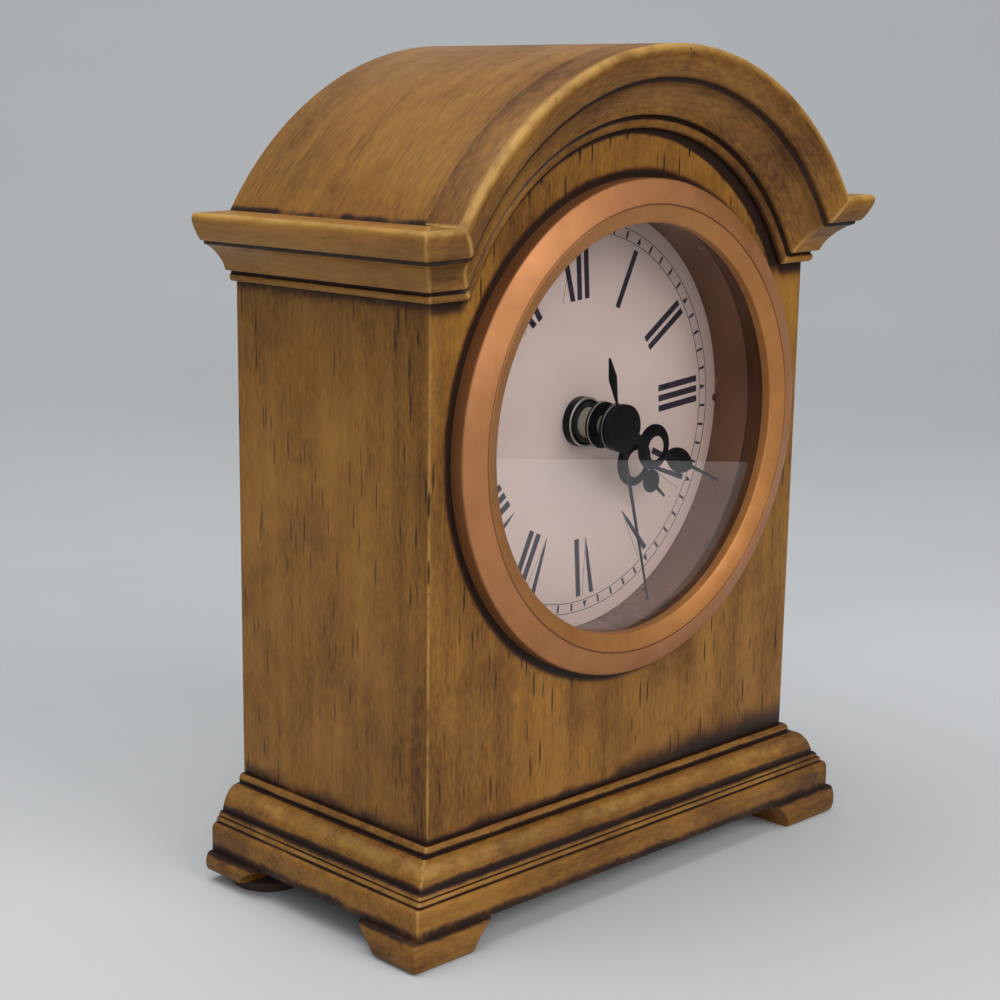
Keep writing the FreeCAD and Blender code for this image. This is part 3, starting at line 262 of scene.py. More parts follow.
class Tree:
    """Short ways to add nodes to a node tree. Each gives back the socket that holds the result."""

    def __init__(self, tree):
        self.tree = tree

    def add(self, kind, **settings):
        node = self.tree.nodes.new(kind)
        for key, value in settings.items():
            setattr(node, key, value)
        return node

    def put(self, value, socket):
        if isinstance(value, bpy.types.NodeSocket):
            self.tree.links.new(value, socket)
        elif value is not None:
            socket.default_value = value

    def fill(self, node, *values):
        for value, socket in zip(values, node.inputs):
            self.put(value, socket)
        return node.outputs[0]

    def math(self, operation, a, b=None):
        return self.fill(self.add("ShaderNodeMath", operation=operation), a, b)

    def times(self, first, *others):
        for other in others:
            first = self.math("MULTIPLY", first, other)
        return first

    def plus(self, a, b):
        return self.math("ADD", a, b)

    def minus(self, a, b):
        return self.math("SUBTRACT", a, b)

    def size_of(self, value):
        return self.math("ABSOLUTE", value)

    def strongest(self, first, *others):
        for other in others:
            first = self.math("MAXIMUM", first, other)
        return first

    def vector(self, x, y, z):
        return self.fill(self.add("ShaderNodeCombineXYZ"), x, y, z)

    def split(self, vector):
        node = self.add("ShaderNodeSeparateXYZ")
        self.put(vector, node.inputs[0])
        return node.outputs

    def noise(self, vector, scale, detail=4.0, roughness=0.55, distortion=0.0):
        """Cloudy noise. A scale of three values stretches it along an axis."""
        if isinstance(scale, tuple):
            stretch = self.add("ShaderNodeVectorMath", operation="MULTIPLY")
            self.put(vector, stretch.inputs[0])
            stretch.inputs[1].default_value = scale
            vector, scale = stretch.outputs[0], 1.0
        node = self.add("ShaderNodeTexNoise")
        for key, value in (("Vector", vector), ("Scale", scale), ("Detail", detail),
                           ("Roughness", roughness), ("Distortion", distortion)):
            self.put(value, node.inputs[key])
        return node.outputs["Fac"]

    def from_dots(self, vector, scale):
        """How far it is to the nearest of many scattered points."""
        node = self.add("ShaderNodeTexVoronoi", feature="F1", distance="EUCLIDEAN")
        self.put(vector, node.inputs["Vector"])
        node.inputs["Scale"].default_value = scale
        return node.outputs["Distance"]

    def range(self, value, low, high, to_low=0.0, to_high=1.0, smooth=True):
        node = self.add("ShaderNodeMapRange", interpolation_type="SMOOTHSTEP" if smooth else "LINEAR")
        return self.fill(node, value, low, high, to_low, to_high)

    def band(self, value, centre, half, fade):
        """1 within half of the centre, and fading to 0 beyond it."""
        return self.range(self.size_of(self.minus(value, centre)), half, half + fade, 1.0, 0.0)

    def blend(self, factor, a, b):
        node = self.add("ShaderNodeMix", data_type="RGBA", blend_type="MIX")
        self.put(factor, node.inputs[0])
        self.put(a, node.inputs[6])
        self.put(b, node.inputs[7])
        return node.outputs[2]

    def ramp(self, value, *stops):
        node = self.add("ShaderNodeValToRGB")
        self.put(value, node.inputs[0])
        elements = node.color_ramp.elements
        while len(elements) < len(stops):
            elements.new(0.5)
        for element, (place, shade) in zip(elements, stops):
            element.position = place
            element.color = shade
        return node.outputs[0]

    def group(self, group, **values):
        node = self.add("ShaderNodeGroup", node_tree=group)
        for key, value in values.items():
            self.put(value, node.inputs[key.replace("_", " ")])
        return node.outputs

    def bump(self, surface, height, strength, distance):
        node = self.add("ShaderNodeBump")
        node.inputs["Strength"].default_value = strength
        node.inputs["Distance"].default_value = distance
        self.put(height, node.inputs["Height"])
        self.put(node.outputs["Normal"], surface.inputs["Normal"])


def radius_from(t, place, centre_z):
    """How far a place is from an axis that runs back through the clock at a height."""
    x, _, z = t.split(place)
    high = t.minus(z, centre_z * MM)
    return t.math("SQRT", t.plus(t.times(x, x), t.times(high, high)))


def new_material(name):
    """An empty material, with the Principled BSDF that its values go to."""
    material = bpy.data.materials.new(name)
    material.use_nodes = True
    MATERIALS[name] = material
    return Tree(material.node_tree), material.node_tree.nodes["Principled BSDF"]


print("middle grey as a shader takes it:", round(colour(128, 128, 128)[0], 3))

# %% [markdown]
# ## Wood grain, glaze, painted shade and dots
# The case is of an open-grained wood with a warm stain. A dark glaze was wiped over it: it stayed in the
# pores and grooves, and small dots of it were flicked on. The same dark colours also paint shade under the
# mouldings, above the base and round the bezel. A photograph of wood could be wrapped round each board,
# but its grain would not turn with the arch. So the grain is built of noises that are long in one
# direction. It, the glaze with its painted shade, and the dots are shader groups, because every board
# uses them with numbers of its own.

# %% A shader group with its inputs and outputs
def new_group(name, inputs, outputs):
    group = bpy.data.node_groups.new(name, "ShaderNodeTree")
    for title, value in inputs:
        kind = "NodeSocketVector" if value is None else "NodeSocketFloat"
        socket = group.interface.new_socket(title, in_out="INPUT", socket_type=kind)
        if value is not None:
            socket.default_value = value
    for title in outputs:
        group.interface.new_socket(title, in_out="OUTPUT", socket_type="NodeSocketFloat")
    return group, group.nodes.new("NodeGroupInput").outputs, group.nodes.new("NodeGroupOutput").inputs


print("groups of this kind so far:", len(bpy.data.node_groups))

# %% The grain, along the third axis
STREAK, STREAK_SHARE = (420.0, 420.0, 22.0), 0.24
CLOUD, CLOUD_SHARE = (70.0, 70.0, 36.0), 0.46
FIBRE, FIBRE_SHARE = (1500.0, 1500.0, 420.0), 0.3
PORE_ACROSS, PORE_ALONG = 900.0, 72.0


def wood_grain_group():
    """Streaks and clouds of tone, fine fibres, and open pores like short dark strokes."""
    group, entry, leave = new_group("Wood grain", [("Grain Vector", None), ("Pores", 1.0)],
                                    ["Tone", "Pore", "Height"])
    t = Tree(group)
    place = entry["Grain Vector"]
    streak = t.noise(place, STREAK, 5.0, 0.6, 0.3)
    cloud = t.noise(place, CLOUD)
    fibre = t.noise(place, FIBRE, 3.0, 0.6)
    soft = t.plus(t.times(cloud, CLOUD_SHARE), t.times(fibre, FIBRE_SHARE))
    tone = t.plus(t.times(streak, STREAK_SHARE), soft)
    across, deep, along = t.split(place)
    wavy = t.noise(place, (90.0, 90.0, 40.0), 2.0)
    stretched = t.vector(t.plus(t.times(across, PORE_ACROSS), wavy), t.times(deep, PORE_ACROSS),
                         t.times(along, PORE_ALONG))
    core = t.range(t.from_dots(stretched, 1.0), 0.14, 0.23, 1.0, 0.0)
    rare = t.range(t.noise(place, (210.0, 210.0, 60.0), 3.0), 0.42, 0.5)
    pore = t.times(core, rare, entry["Pores"])
    t.put(tone, leave["Tone"])
    t.put(pore, leave["Pore"])
    t.put(t.minus(t.times(fibre, 0.4), pore), leave["Height"])
    return group


GRAIN = wood_grain_group()
print("nodes in the grain:", len(GRAIN.nodes))


# %% The glaze with its painted shade, and its dots
def glaze_and_shade_group():
    """Turns a clean mask of glaze and painted shade into an edge that is broken up by noise."""
    group, entry, leave = new_group("Glaze and shade", [("Place", None), ("Mask", 0.0), ("Ragged", 0.5)], ["Amount"])
    t = Tree(group)
    rough = t.noise(entry["Place"], (95.0, 95.0, 150.0), 6.0, 0.68, 0.6)
    fine = t.noise(entry["Place"], (900.0, 900.0, 500.0), 3.0, 0.6)
    mixed = t.plus(t.times(rough, 0.7), t.times(fine, 0.3))
    shift = t.times(t.minus(mixed, 0.5), entry["Ragged"])
    amount = t.range(t.plus(entry["Mask"], t.times(shift, 2.0)), 0.1, 0.95)
    t.put(t.times(amount, t.range(entry["Mask"], 0.0, 0.12)), leave["Amount"])
    return group


def speckle_group():
    """Small dark dots flicked on with the glaze, in patches."""
    group, entry, leave = new_group("Speckle", [("Place", None), ("Amount", 0.5)], ["Dots"])
    t = Tree(group)
    core = t.range(t.from_dots(entry["Place"], 900.0), 0.12, 0.3, 1.0, 0.0)
    patch = t.range(t.noise(entry["Place"], 110.0, 3.0), 0.45, 0.7)
    t.put(t.times(core, patch, entry["Amount"]), leave["Dots"])
    return group


GLAZE_AND_SHADE, SPECKLE = glaze_and_shade_group(), speckle_group()
print("shader groups:", [g.name for g in bpy.data.node_groups if g.type == "SHADER"])

# %% [markdown]
# ## A wood material
# Each board's grain runs along its length, and round the arch it follows the bend, because that board
# was bent or turned. The material gets that direction, a mask of glaze and painted shade, and a mask of
# edges worn pale and painted highlights. It could be one material for the whole case, but a bare side and
# a grooved base need different numbers, and each board also gets painted light and shade that makes it
# paler or darker for how the light falls on it.

# %% Layers of the wood finish
WOOD_DARK, WOOD_MID = colour(76, 45, 16), colour(126, 86, 33)
WOOD_PALE, WOOD_WORN_AND_HIGHLIGHT = colour(152, 106, 44), colour(182, 142, 74)
GLAZE_AND_SHADE_DARK, GLAZE_AND_SHADE_BROWN = colour(24, 11, 8), colour(62, 32, 16)
WOOD_SHINE = 0.22
PORE_DEPTH = 0.2


def grain_place(t, place, way):
    """The place in the wood, turned so that the grain is the third axis."""
    x, y, z = t.split(place)
    if way == "up":
        return place
    if way == "back":
        return t.vector(x, z, y)
    if way == "across":
        return t.vector(y, z, x)
    angle = t.math("ARCTAN2", x, t.minus(z, ARCH_CENTRE * MM))
    return t.vector(y, radius_from(t, place, ARCH_CENTRE), t.times(angle, ARCH_OUTER * MM))


def wood(name, way, glaze_and_shade_masks, paled, pores, speckle, ragged, painted_light):
    """The first mask gives the glaze and painted shade, the second the worn edges and painted highlights,
    and the last number paints light and shade by making the tone paler or darker.
    """
    t, surface = new_material(name)
    place = t.add("ShaderNodeTexCoord").outputs["Object"]
    grain = t.group(GRAIN, Grain_Vector=grain_place(t, place, way), Pores=pores)
    # Painted light and shade: the whole tone is made paler or darker for how the light falls on this board.
    tone = t.plus(grain["Tone"], painted_light)
    glaze_and_shade = t.group(GLAZE_AND_SHADE, Place=place, Mask=glaze_and_shade_masks(t, place), Ragged=ragged)["Amount"]
    dots = t.group(SPECKLE, Place=place, Amount=speckle)["Dots"]
    shade = t.ramp(tone, (0.33, WOOD_DARK), (0.5, WOOD_MID), (0.66, WOOD_PALE))
    # Worn edges and painted highlights, in one pale colour.
    if paled:
        shade = t.blend(paled(t, place), shade, WOOD_WORN_AND_HIGHLIGHT)
    stain = t.range(t.noise(place, 55.0, 5.0, 0.65), 0.46, 0.72, 0.0, 0.4)
    shade = t.blend(stain, shade, WOOD_DARK)
    shade = t.blend(t.times(grain["Pore"], 0.9), shade, GLAZE_AND_SHADE_DARK)
    shade = t.blend(dots, shade, GLAZE_AND_SHADE_BROWN)
    # Glaze and painted shade: brown where the mask is weak, near black where it is strong.
    shade = t.blend(t.times(t.range(glaze_and_shade, 0.0, 0.7), 0.7), shade, GLAZE_AND_SHADE_BROWN)
    shade = t.blend(t.range(glaze_and_shade, 0.45, 1.05, 0.0, 0.95), shade, GLAZE_AND_SHADE_DARK)
    t.put(shade, surface.inputs["Base Color"])
    t.put(t.range(tone, 0.3, 0.7, 0.52, 0.4), surface.inputs["Roughness"])
    surface.inputs["Specular IOR Level"].default_value = WOOD_SHINE
    t.bump(surface, grain["Height"], 0.35, PORE_DEPTH * MM)


print("layers: grain, worn edges, stain, pores, dots, glaze")

# %% [markdown]
# ## Moulding profiles
# The cornice is a bead, a groove, a cove, a second groove and a rounded band. The base is an ovolo
# between fine grooves, with three small steps and a flat below. Each is a list of shares, out from the
# board and up or down it, so that one profile serves runs of different size. How far along the profile a
# groove lies is measured too, because the glaze, the painted shade, the wear and the painted highlights
# are put on by that.

# %% The cornice's profile, from its foot up
BEAD = [(0.0, 0.0), (0.07, 0.0)] + smooth_run([(0.11, 0.004), (0.147, 0.022), (0.162, 0.06), (0.156, 0.098),
                                              (0.13, 0.122)], 3)
LOW_GROOVE = [(0.128, 0.145), (0.16, 0.158)]
COVE = smooth_run([(0.236, 0.163), (0.262, 0.18), (0.30, 0.255), (0.36, 0.33), (0.455, 0.415),
                   (0.56, 0.487), (0.66, 0.535), (0.728, 0.558)], 4)
HIGH_GROOVE = [(0.738, 0.575), (0.742, 0.602)]
BAND = smooth_run([(0.79, 0.612), (0.815, 0.618), (0.86, 0.66), (0.905, 0.72), (0.95, 0.79), (0.985, 0.86),
                   (1.0, 0.915), (0.992, 0.96), (0.962, 0.99), (0.92, 1.0)], 3)
CORNICE = BEAD + LOW_GROOVE + COVE + HIGH_GROOVE + BAND + [(0.45, 1.0), (0.0, 1.0)]
CORNICE_SHAPE = 0.75
RUN = shares_along([(out * CORNICE_SHAPE, up) for out, up in CORNICE])
GROOVE_LOW = RUN[len(BEAD)]
GROOVE_HIGH = RUN[len(BEAD + LOW_GROOVE + COVE)]
TOP_EDGE = RUN[len(BEAD + LOW_GROOVE + COVE + HIGH_GROOVE + BAND) - 3]
print("cornice profile points:", len(CORNICE))

# %% The base's profile, from its top down
BASE_PARTS = [
    [(0.0, 0.0), (0.075, 0.0)] + arc_through((0.075, 0.0), (0.16, 0.035), (0.175, 0.095), 6),
    [(0.165, 0.118), (0.2, 0.13)] + arc_through((0.2, 0.13), (0.49, 0.2), (0.672, 0.435), 14),
    [(0.668, 0.462), (0.69, 0.476)] + arc_through((0.69, 0.476), (0.775, 0.48), (0.79, 0.518), 5),
    [(0.785, 0.53), (0.8, 0.535)] + arc_through((0.8, 0.535), (0.852, 0.545), (0.862, 0.582), 5),
    [(0.862, 0.6), (0.9, 0.606)] + arc_through((0.9, 0.606), (0.978, 0.64), (1.0, 0.715), 6),
    [(1.0, 0.86), (1.0, 1.0)],
]
BASE_PROFILE = [p for part in BASE_PARTS for p in part]
BASE_SHAPE = 0.6
BASE_RUN = shares_along([(out * BASE_SHAPE, down) for out, down in BASE_PROFILE])


def start_of(part):
    return BASE_RUN[sum(len(p) for p in BASE_PARTS[:part])]


OVOLO, STEP_ONE, STEP_TWO, STEP_THREE = start_of(1), start_of(2), start_of(3), start_of(4)
OVOLO_CROWN = OVOLO * 0.5 + STEP_ONE * 0.5
BASE_BEADS = [OVOLO - 0.03, STEP_TWO - 0.02, STEP_THREE - 0.02]
# Each groove: where it lies, half its width, how far it fades, and how dark it is. Each is glaze and
# painted shade; the wide ones at the foot of the ovolo and at the bottom are painted shade.
BASE_GROOVES = [(0.0, 0.02, 0.04, 0.9), (OVOLO, 0.014, 0.05, 1.0), (STEP_ONE, 0.018, 0.09, 1.0),
                (STEP_TWO, 0.008, 0.012, 0.85), (STEP_THREE, 0.008, 0.02, 0.9), (1.0, 0.03, 0.11, 0.8)]
print("base profile points:", len(BASE_PROFILE))

# %% [markdown]
# ## Where the glaze and the painted shade lie
# On the real case the dark glaze lies where a cloth can't reach, in the grooves and in drips under the
# arch. Painted shade is laid with it above the base, under the cornice, the ears and the arch, and round the
# bezel. It could be painted on each piece by hand, but then it would not follow a change of size. So each
# mask is worked out from the place in space, and on a moulding from the run along its profile, which the
# mesh carries as an attribute.

# %% Glaze and painted shade on the front panel
CREEP_LEAST, CREEP_MOST = 1.2, 7.5
DRIP_DEPTH, DRIP_FADE, DRIP_RIGHT = 6.2, 1.3, 1.4
ARCH_SHADE = 1.7
DRIP_LOW, DRIP_HIGH = 108.0, 116.0
# A painted shadow of the raised bezel on the panel round it, full at the first radius and gone at the
# second.
BEZEL_SHADOW_FULL, BEZEL_SHADOW_END = 45.6, 48.0
EAR_SHADE, EAR_SHADE_FULL = 39.5, 43.5


def glaze_and_shade_over_base(t, place):
    """Glaze and painted shade that creep up from the joint with the base, higher towards the right."""
    x, _, z = t.split(place)
    patches = t.noise(place, (60.0, 60.0, 20.0), 3.0)
    height = t.times(t.range(patches, 0.38, 0.62, CREEP_LEAST * MM, CREEP_MOST * MM),
                     t.range(x, -20.0 * MM, 42.0 * MM, 0.45, 1.15))
    top = t.plus(t.plus(height, CREEP_LEAST * MM), BASE_TOP * MM)
    return t.range(z, (BASE_TOP + 0.2) * MM, top, 1.0, 0.0, smooth=False)


def glaze_and_shade_under_arch(t, place):
    """A line of painted shade under the arch, with drips that fall straight down and are longer on the
    right.
    """
    x, _, z = t.split(place)
    narrow = t.range(t.noise(place, (640.0, 100.0, 22.0), 1.0), 0.6, 0.74)
    long = t.range(t.noise(place, (90.0, 10.0, 10.0), 2.0), 0.42, 0.62, 0.25, 1.0)
    fall = t.times(narrow, long, -DRIP_DEPTH * MM)
    fall = t.minus(fall, t.range(x, -5.0 * MM, 30.0 * MM, 0.0, DRIP_RIGHT * MM))
    reach = t.plus(fall, (ARCH_INNER - ARCH_SHADE) * MM)
    line = t.range(radius_from(t, place, ARCH_CENTRE), reach, t.plus(reach, DRIP_FADE * MM))
    over = t.range(z, (CORNICE_LOW - 1.0) * MM, CORNICE_LOW * MM)
    return t.strongest(t.times(line, over), t.times(line, t.range(z, DRIP_LOW * MM, DRIP_HIGH * MM)))


def side_masks(t, place):
    """Glaze and painted shade above the base, painted shade under the cornice, and nothing on the rear edge.
    """
    _, y, z = t.split(place)
    foot = t.range(z, (BASE_TOP - 1.0) * MM, (BASE_TOP + 4.2) * MM, 1.0, 0.0, smooth=False)
    top = t.range(z, (CORNICE_LOW - 4.0) * MM, (CORNICE_LOW + 0.4) * MM, 0.0, 0.75)
    return t.times(t.strongest(foot, top), t.range(y, (REAR - 0.5) * MM, (REAR - 0.1) * MM, 1.0, 0.0))


def front_masks(t, place):
    """The front's own glaze and painted shade, and past its corners the side's, so that the two boards meet
    evenly.
    """
    x, _, z = t.split(place)
    # Painted shade under the ears, and a painted shadow round the raised bezel.
    aside = t.range(t.size_of(x), EAR_SHADE * MM, EAR_SHADE_FULL * MM, 0.0, 0.9)
    under_ear = t.times(t.range(z, (CORNICE_LOW - 4.5) * MM, (CORNICE_LOW - 0.2) * MM), aside)
    shadow_round_bezel = t.range(radius_from(t, place, DIAL_Z), BEZEL_SHADOW_FULL * MM, BEZEL_SHADOW_END * MM, 1.0, 0.0)
    face = t.strongest(glaze_and_shade_over_base(t, place), glaze_and_shade_under_arch(t, place), under_ear, shadow_round_bezel)
    edge = t.range(t.size_of(x), (HALF_WIDTH - 0.4) * MM, (HALF_WIDTH - 0.05) * MM)
    return t.plus(t.times(face, t.minus(1.0, edge)), t.times(side_masks(t, place), edge))


print("drips of up to", DRIP_DEPTH, "mm under the arch")


# %% Glaze and painted shade on the roof, the mouldings and the feet
def roof_masks(t, place):
    z = t.split(place)[2]
    foot = t.range(z, (CORNICE_TOP + 0.1) * MM, (CORNICE_TOP + 1.7) * MM, 1.0, 0.0)
    return t.times(foot, t.range(t.noise(place, (20.0, 90.0, 20.0), 3.0), 0.35, 0.6, 0.45, 1.0))


def attribute(t, key):
    return t.add("ShaderNodeAttribute", attribute_type="GEOMETRY", attribute_name=key).outputs["Fac"]


def cornice_masks(t, place):
    """Glaze and painted shade in both grooves, and painted shade a little below the upper one and under the
    foot of the moulding.
    """
    run = attribute(t, "run")
    return t.strongest(t.times(t.band(run, GROOVE_HIGH, 0.006, 0.03), 0.85),
                       t.times(t.band(run, GROOVE_LOW, 0.012, 0.03), 0.9),
                       t.times(t.band(run, GROOVE_HIGH - 0.05, 0.0, 0.1), 0.36),
                       t.range(run, 0.01, 0.045, 0.9, 0.0))


def arch_masks(t, place):
    """As on the cornice, with painted shade over the arch towards the right, strongest on its lower part."""
    right = t.range(t.split(place)[0], -5.0 * MM, 40.0 * MM, 0.0, 0.62)
    bead = t.range(attribute(t, "run"), 0.0, 0.24, 1.0, 0.0)
    return t.strongest(cornice_masks(t, place), t.times(right, bead), t.times(right, 0.3))


def base_masks(t, place):
    """Glaze and painted shade in every groove, glaze in soft patches, and darker over the right end of the
    front.
    """
    run = attribute(t, "run")
    x, y, _ = t.split(place)
    marks = [t.times(t.band(run, groove, half, fade), power) for groove, half, fade, power in BASE_GROOVES]
    end = t.times(t.range(x, 10.0 * MM, 56.0 * MM), t.range(y, -18.0 * MM, -22.0 * MM))
    patch = t.range(t.noise(place, (70.0, 70.0, 160.0), 3.0), 0.4, 0.6)
    return t.strongest(t.times(end, 0.5), t.times(patch, 0.22), *marks)


def foot_masks(t, place):
    # Painted shade at the top of each foot, under the base.
    return t.range(t.split(place)[2], (BASE_LOW - 1.1) * MM, (BASE_LOW + 0.1) * MM, 0.0, 0.95)


def inner_masks(t, place):
    return t.range(t.noise(place, 60.0, 3.0), 0.55, 0.75, 0.0, 0.5)


print("grooves with glaze in the base:", len(BASE_GROOVES))


# %% Where hands have rubbed the wood pale, and painted highlights
def corner_wear_and_highlight(t, place):
    """The two long front corners of the case, worn pale, with a painted highlight along them."""
    x, y, _ = t.split(place)
    side = t.range(t.size_of(x), (HALF_WIDTH - 0.5) * MM, (HALF_WIDTH - 0.1) * MM)
    near = t.range(y, (FRONT + 0.1) * MM, (FRONT + 0.6) * MM, 1.0, 0.0)
    return t.times(side, near, t.range(t.noise(place, 160.0, 3.0), 0.3, 0.6, 0.1, 0.75))


def mitre_wear_and_highlight(t, place):
    """The cornice's mitres and its top edge, worn pale, with a painted highlight along them."""
    top = t.band(attribute(t, "run"), TOP_EDGE, 0.012, 0.05)
    rubbed_and_highlit = t.strongest(t.times(attribute(t, "corner"), 0.9), t.times(top, 0.75))
    return t.times(rubbed_and_highlit, t.range(t.noise(place, 220.0, 3.0), 0.3, 0.62, 0.25, 0.95))


def base_wear_and_highlight(t, place):
    """The base's corners and beads, worn pale with a painted highlight, and a painted highlight on the crown
    of its ovolo.
    """
    run = attribute(t, "run")
    beads = t.strongest(*[t.band(run, bead, 0.01, 0.025) for bead in BASE_BEADS])
    crown_highlight = t.times(t.band(run, OVOLO_CROWN, 0.02, 0.08), 0.42)
    rubbed_and_highlit = t.strongest(t.times(attribute(t, "corner"), 0.7), t.times(beads, 0.3), crown_highlight)
    return t.times(rubbed_and_highlit, t.range(t.noise(place, 220.0, 3.0), 0.3, 0.62, 0.1, 0.8))


print("beads rubbed on the base:", len(BASE_BEADS))

# %% A finish for each board
# The last number of each board is painted light and shade, making it paler or darker for how the light falls
# on it.
wood("wood front", "up", front_masks, corner_wear_and_highlight, pores=1.0, speckle=0.35, ragged=0.35, painted_light=-0.02)
wood("wood side", "up", side_masks, corner_wear_and_highlight, pores=0.7, speckle=0.25, ragged=0.6, painted_light=0.025)
wood("wood roof", "round", roof_masks, None, pores=0.35, speckle=0.15, ragged=0.55, painted_light=0.03)
wood("wood arch", "round", arch_masks, mitre_wear_and_highlight, pores=0.15, speckle=0.9, ragged=0.45, painted_light=-0.06)
wood("wood side cornice", "back", cornice_masks, mitre_wear_and_highlight, pores=0.15, speckle=0.5, ragged=0.6, painted_light=0.075)
wood("wood ear", "across", cornice_masks, mitre_wear_and_highlight, pores=0.15, speckle=0.5, ragged=0.6, painted_light=-0.03)
wood("wood base", "across", base_masks, base_wear_and_highlight, pores=0.15, speckle=0.6, ragged=0.75, painted_light=-0.035)
wood("wood foot", "across", foot_masks, None, pores=0.15, speckle=0.6, ragged=0.8, painted_light=-0.05)
wood("wood inner", "up", inner_masks, None, pores=0.5, speckle=0.1, ragged=0.5, painted_light=0.12)
print("wood finishes:", [name for name in MATERIALS if name.startswith("wood")])

# %% [markdown]
# ## Metal, paint and plastic
# The other finishes are even, but none is quite even: a little noise in the colour and in the shine
# keeps a part from looking moulded out of one number. One function makes all of them from a colour, a
# roughness and how metallic they are. Turned metal also gets a fine bump, as from the lathe or from
# brushing.

# %% An even finish
SHINE_SPREAD = 0.15
COLOUR_SPREAD = 4.0


def plain(name, shade, roughness, metallic=0.0, variation=0.04, size=90.0, pale=None):
    """A finish whose colour and shine vary a little over patches of a size."""
    t, surface = new_material(name)
    place = t.add("ShaderNodeTexCoord").outputs["Object"]
    mottle = t.noise(place, size)
    spread = variation * COLOUR_SPREAD
    dark = tuple(c * (1 - spread) for c in shade[:3]) + (1.0,)
    light = tuple(min(c * (1 + spread), 1.0) for c in shade[:3]) + (1.0,)
    t.put(t.ramp(mottle, (0.3, dark), (0.7, pale or light)), surface.inputs["Base Color"])
    dull, bright = roughness * (1 + SHINE_SPREAD), roughness * (1 - SHINE_SPREAD)
    t.put(t.range(mottle, 0.3, 0.7, bright, dull), surface.inputs["Roughness"])
    surface.inputs["Metallic"].default_value = metallic
    return t, surface, place


def brushed(t, surface, place, scale, strength):
    t.bump(surface, t.noise(place, scale, 2.0), strength, 0.05 * MM)


plain("movement_plastic", colour(40, 40, 42), 0.45)
plain("gear_plastic", colour(196, 194, 182), 0.42)
plain("motor_steel", colour(150, 152, 155), 0.35, 0.9)
plain("coil_copper", colour(176, 96, 52), 0.3, 0.9)
plain("board_plastic", colour(150, 112, 62), 0.5)
plain("crystal_can", colour(196, 198, 200), 0.22, 1.0)
plain("contact_steel", colour(190, 190, 186), 0.28, 1.0)
plain("washer_rubber", colour(28, 28, 28), 0.7)
plain("foot_pad_rubber", colour(48, 28, 20), 0.92, 0.0, 0.15, 700.0)
print("finishes so far:", len(MATERIALS))

# %% [markdown]
# ## Bezel and drum
# The bezel is of a copper colour, with a more golden inner ring, painted shade in the fine groove between
# its two rings and painted shade on the wall of its outer rim. The drum inside is grey brown, with a
# painted shadow where the bezel's collar stands in front of it. Separate pieces could carry these colours,
# but the real ring is one turning. So the colour changes with the radius on the bezel, and with the depth
# on the drum.

# %% Copper and drum finish
RING_SPLIT, RING_SPLIT_END = 40.2, 40.5
RING_GROOVE = 40.54
RIM_START, RIM_END = 44.75, 45.0
COLLAR_FRONT, COLLAR_END = -16.2, -15.9


def bezel_material():
    t, surface, place = plain("bezel_copper", colour(206, 142, 92), 0.5, 0.6, 0.02, 50.0)
    brushed(t, surface, place, (900.0, 900.0, 900.0), 0.12)
    radius = radius_from(t, place, DIAL_Z)
    paled = t.noise(place, 120.0, 5.0, 0.65)
    outer = t.ramp(paled, (0.3, colour(158, 104, 62)), (0.65, colour(174, 118, 73)))
    inner = t.ramp(paled, (0.3, colour(156, 103, 54)), (0.65, colour(172, 117, 63)))
    shade = t.blend(t.range(radius, RING_SPLIT * MM, RING_SPLIT_END * MM), inner, outer)
    # Painted shade in the fine groove between the two rings.
    groove = t.band(radius, RING_GROOVE * MM, 0.08 * MM, 0.12 * MM)
    shade = t.blend(t.times(groove, 0.6), shade, colour(52, 28, 18))
    # Painted shade on the wall of the outer rim.
    rim = t.range(radius, RIM_START * MM, RIM_END * MM, 0.0, 0.45)
    t.put(t.blend(rim, shade, colour(96, 58, 36)), surface.inputs["Base Color"])


def drum_material():
    t, surface, place = plain("drum_finish", colour(140, 106, 92), 0.27, 0.5, 0.02, 40.0)
    brushed(t, surface, place, (500.0, 60.0, 500.0), 0.1)
    # A painted shadow of the bezel's collar on the front part of the drum.
    collar_shadow = t.range(t.split(place)[1], COLLAR_FRONT * MM, COLLAR_END * MM, 1.0, 0.0)
    t.put(t.blend(collar_shadow, colour(132, 94, 74), colour(66, 32, 14)), surface.inputs["Base Color"])


bezel_material()
drum_material()
print("the bezel turns golden inside a radius of", RING_SPLIT)

# %% [markdown]
# ## Dial, ink and hands
# The dial is pale lacquered metal, brushed lightly, with printed marks in a dull dark ink. The hands are
# painted black, and the front rims of the nut and of the two hubs get a painted highlight, a narrow ring of
# bare bright metal. Both blacks are kept dull, because a shiny black turns grey under a lens that mirrors
# a pale table.

# %% Dial and hand finish
# The front faces that get a painted highlight, a narrow ring of bright metal on each rim.
HIGHLIGHT_RING_FACES = (-10.05, -14.05, -17.45)
HAND_BLACK, HIGHLIGHT_RING_METAL = colour(20, 20, 22), colour(200, 196, 190)
RING_IN, RING_OUT = 4.3, 4.85

brushed(*plain("dial_metal", colour(252, 226, 216), 0.38, 0.08, 0.004, 60.0, colour(254, 232, 222)),
        (60.0, 60.0, 1500.0), 0.06)
ink = plain("dial_ink", colour(66, 55, 70), 0.6, 0.0, 0.12, 1800.0)[1]
ink.inputs["Specular IOR Level"].default_value = 0.15


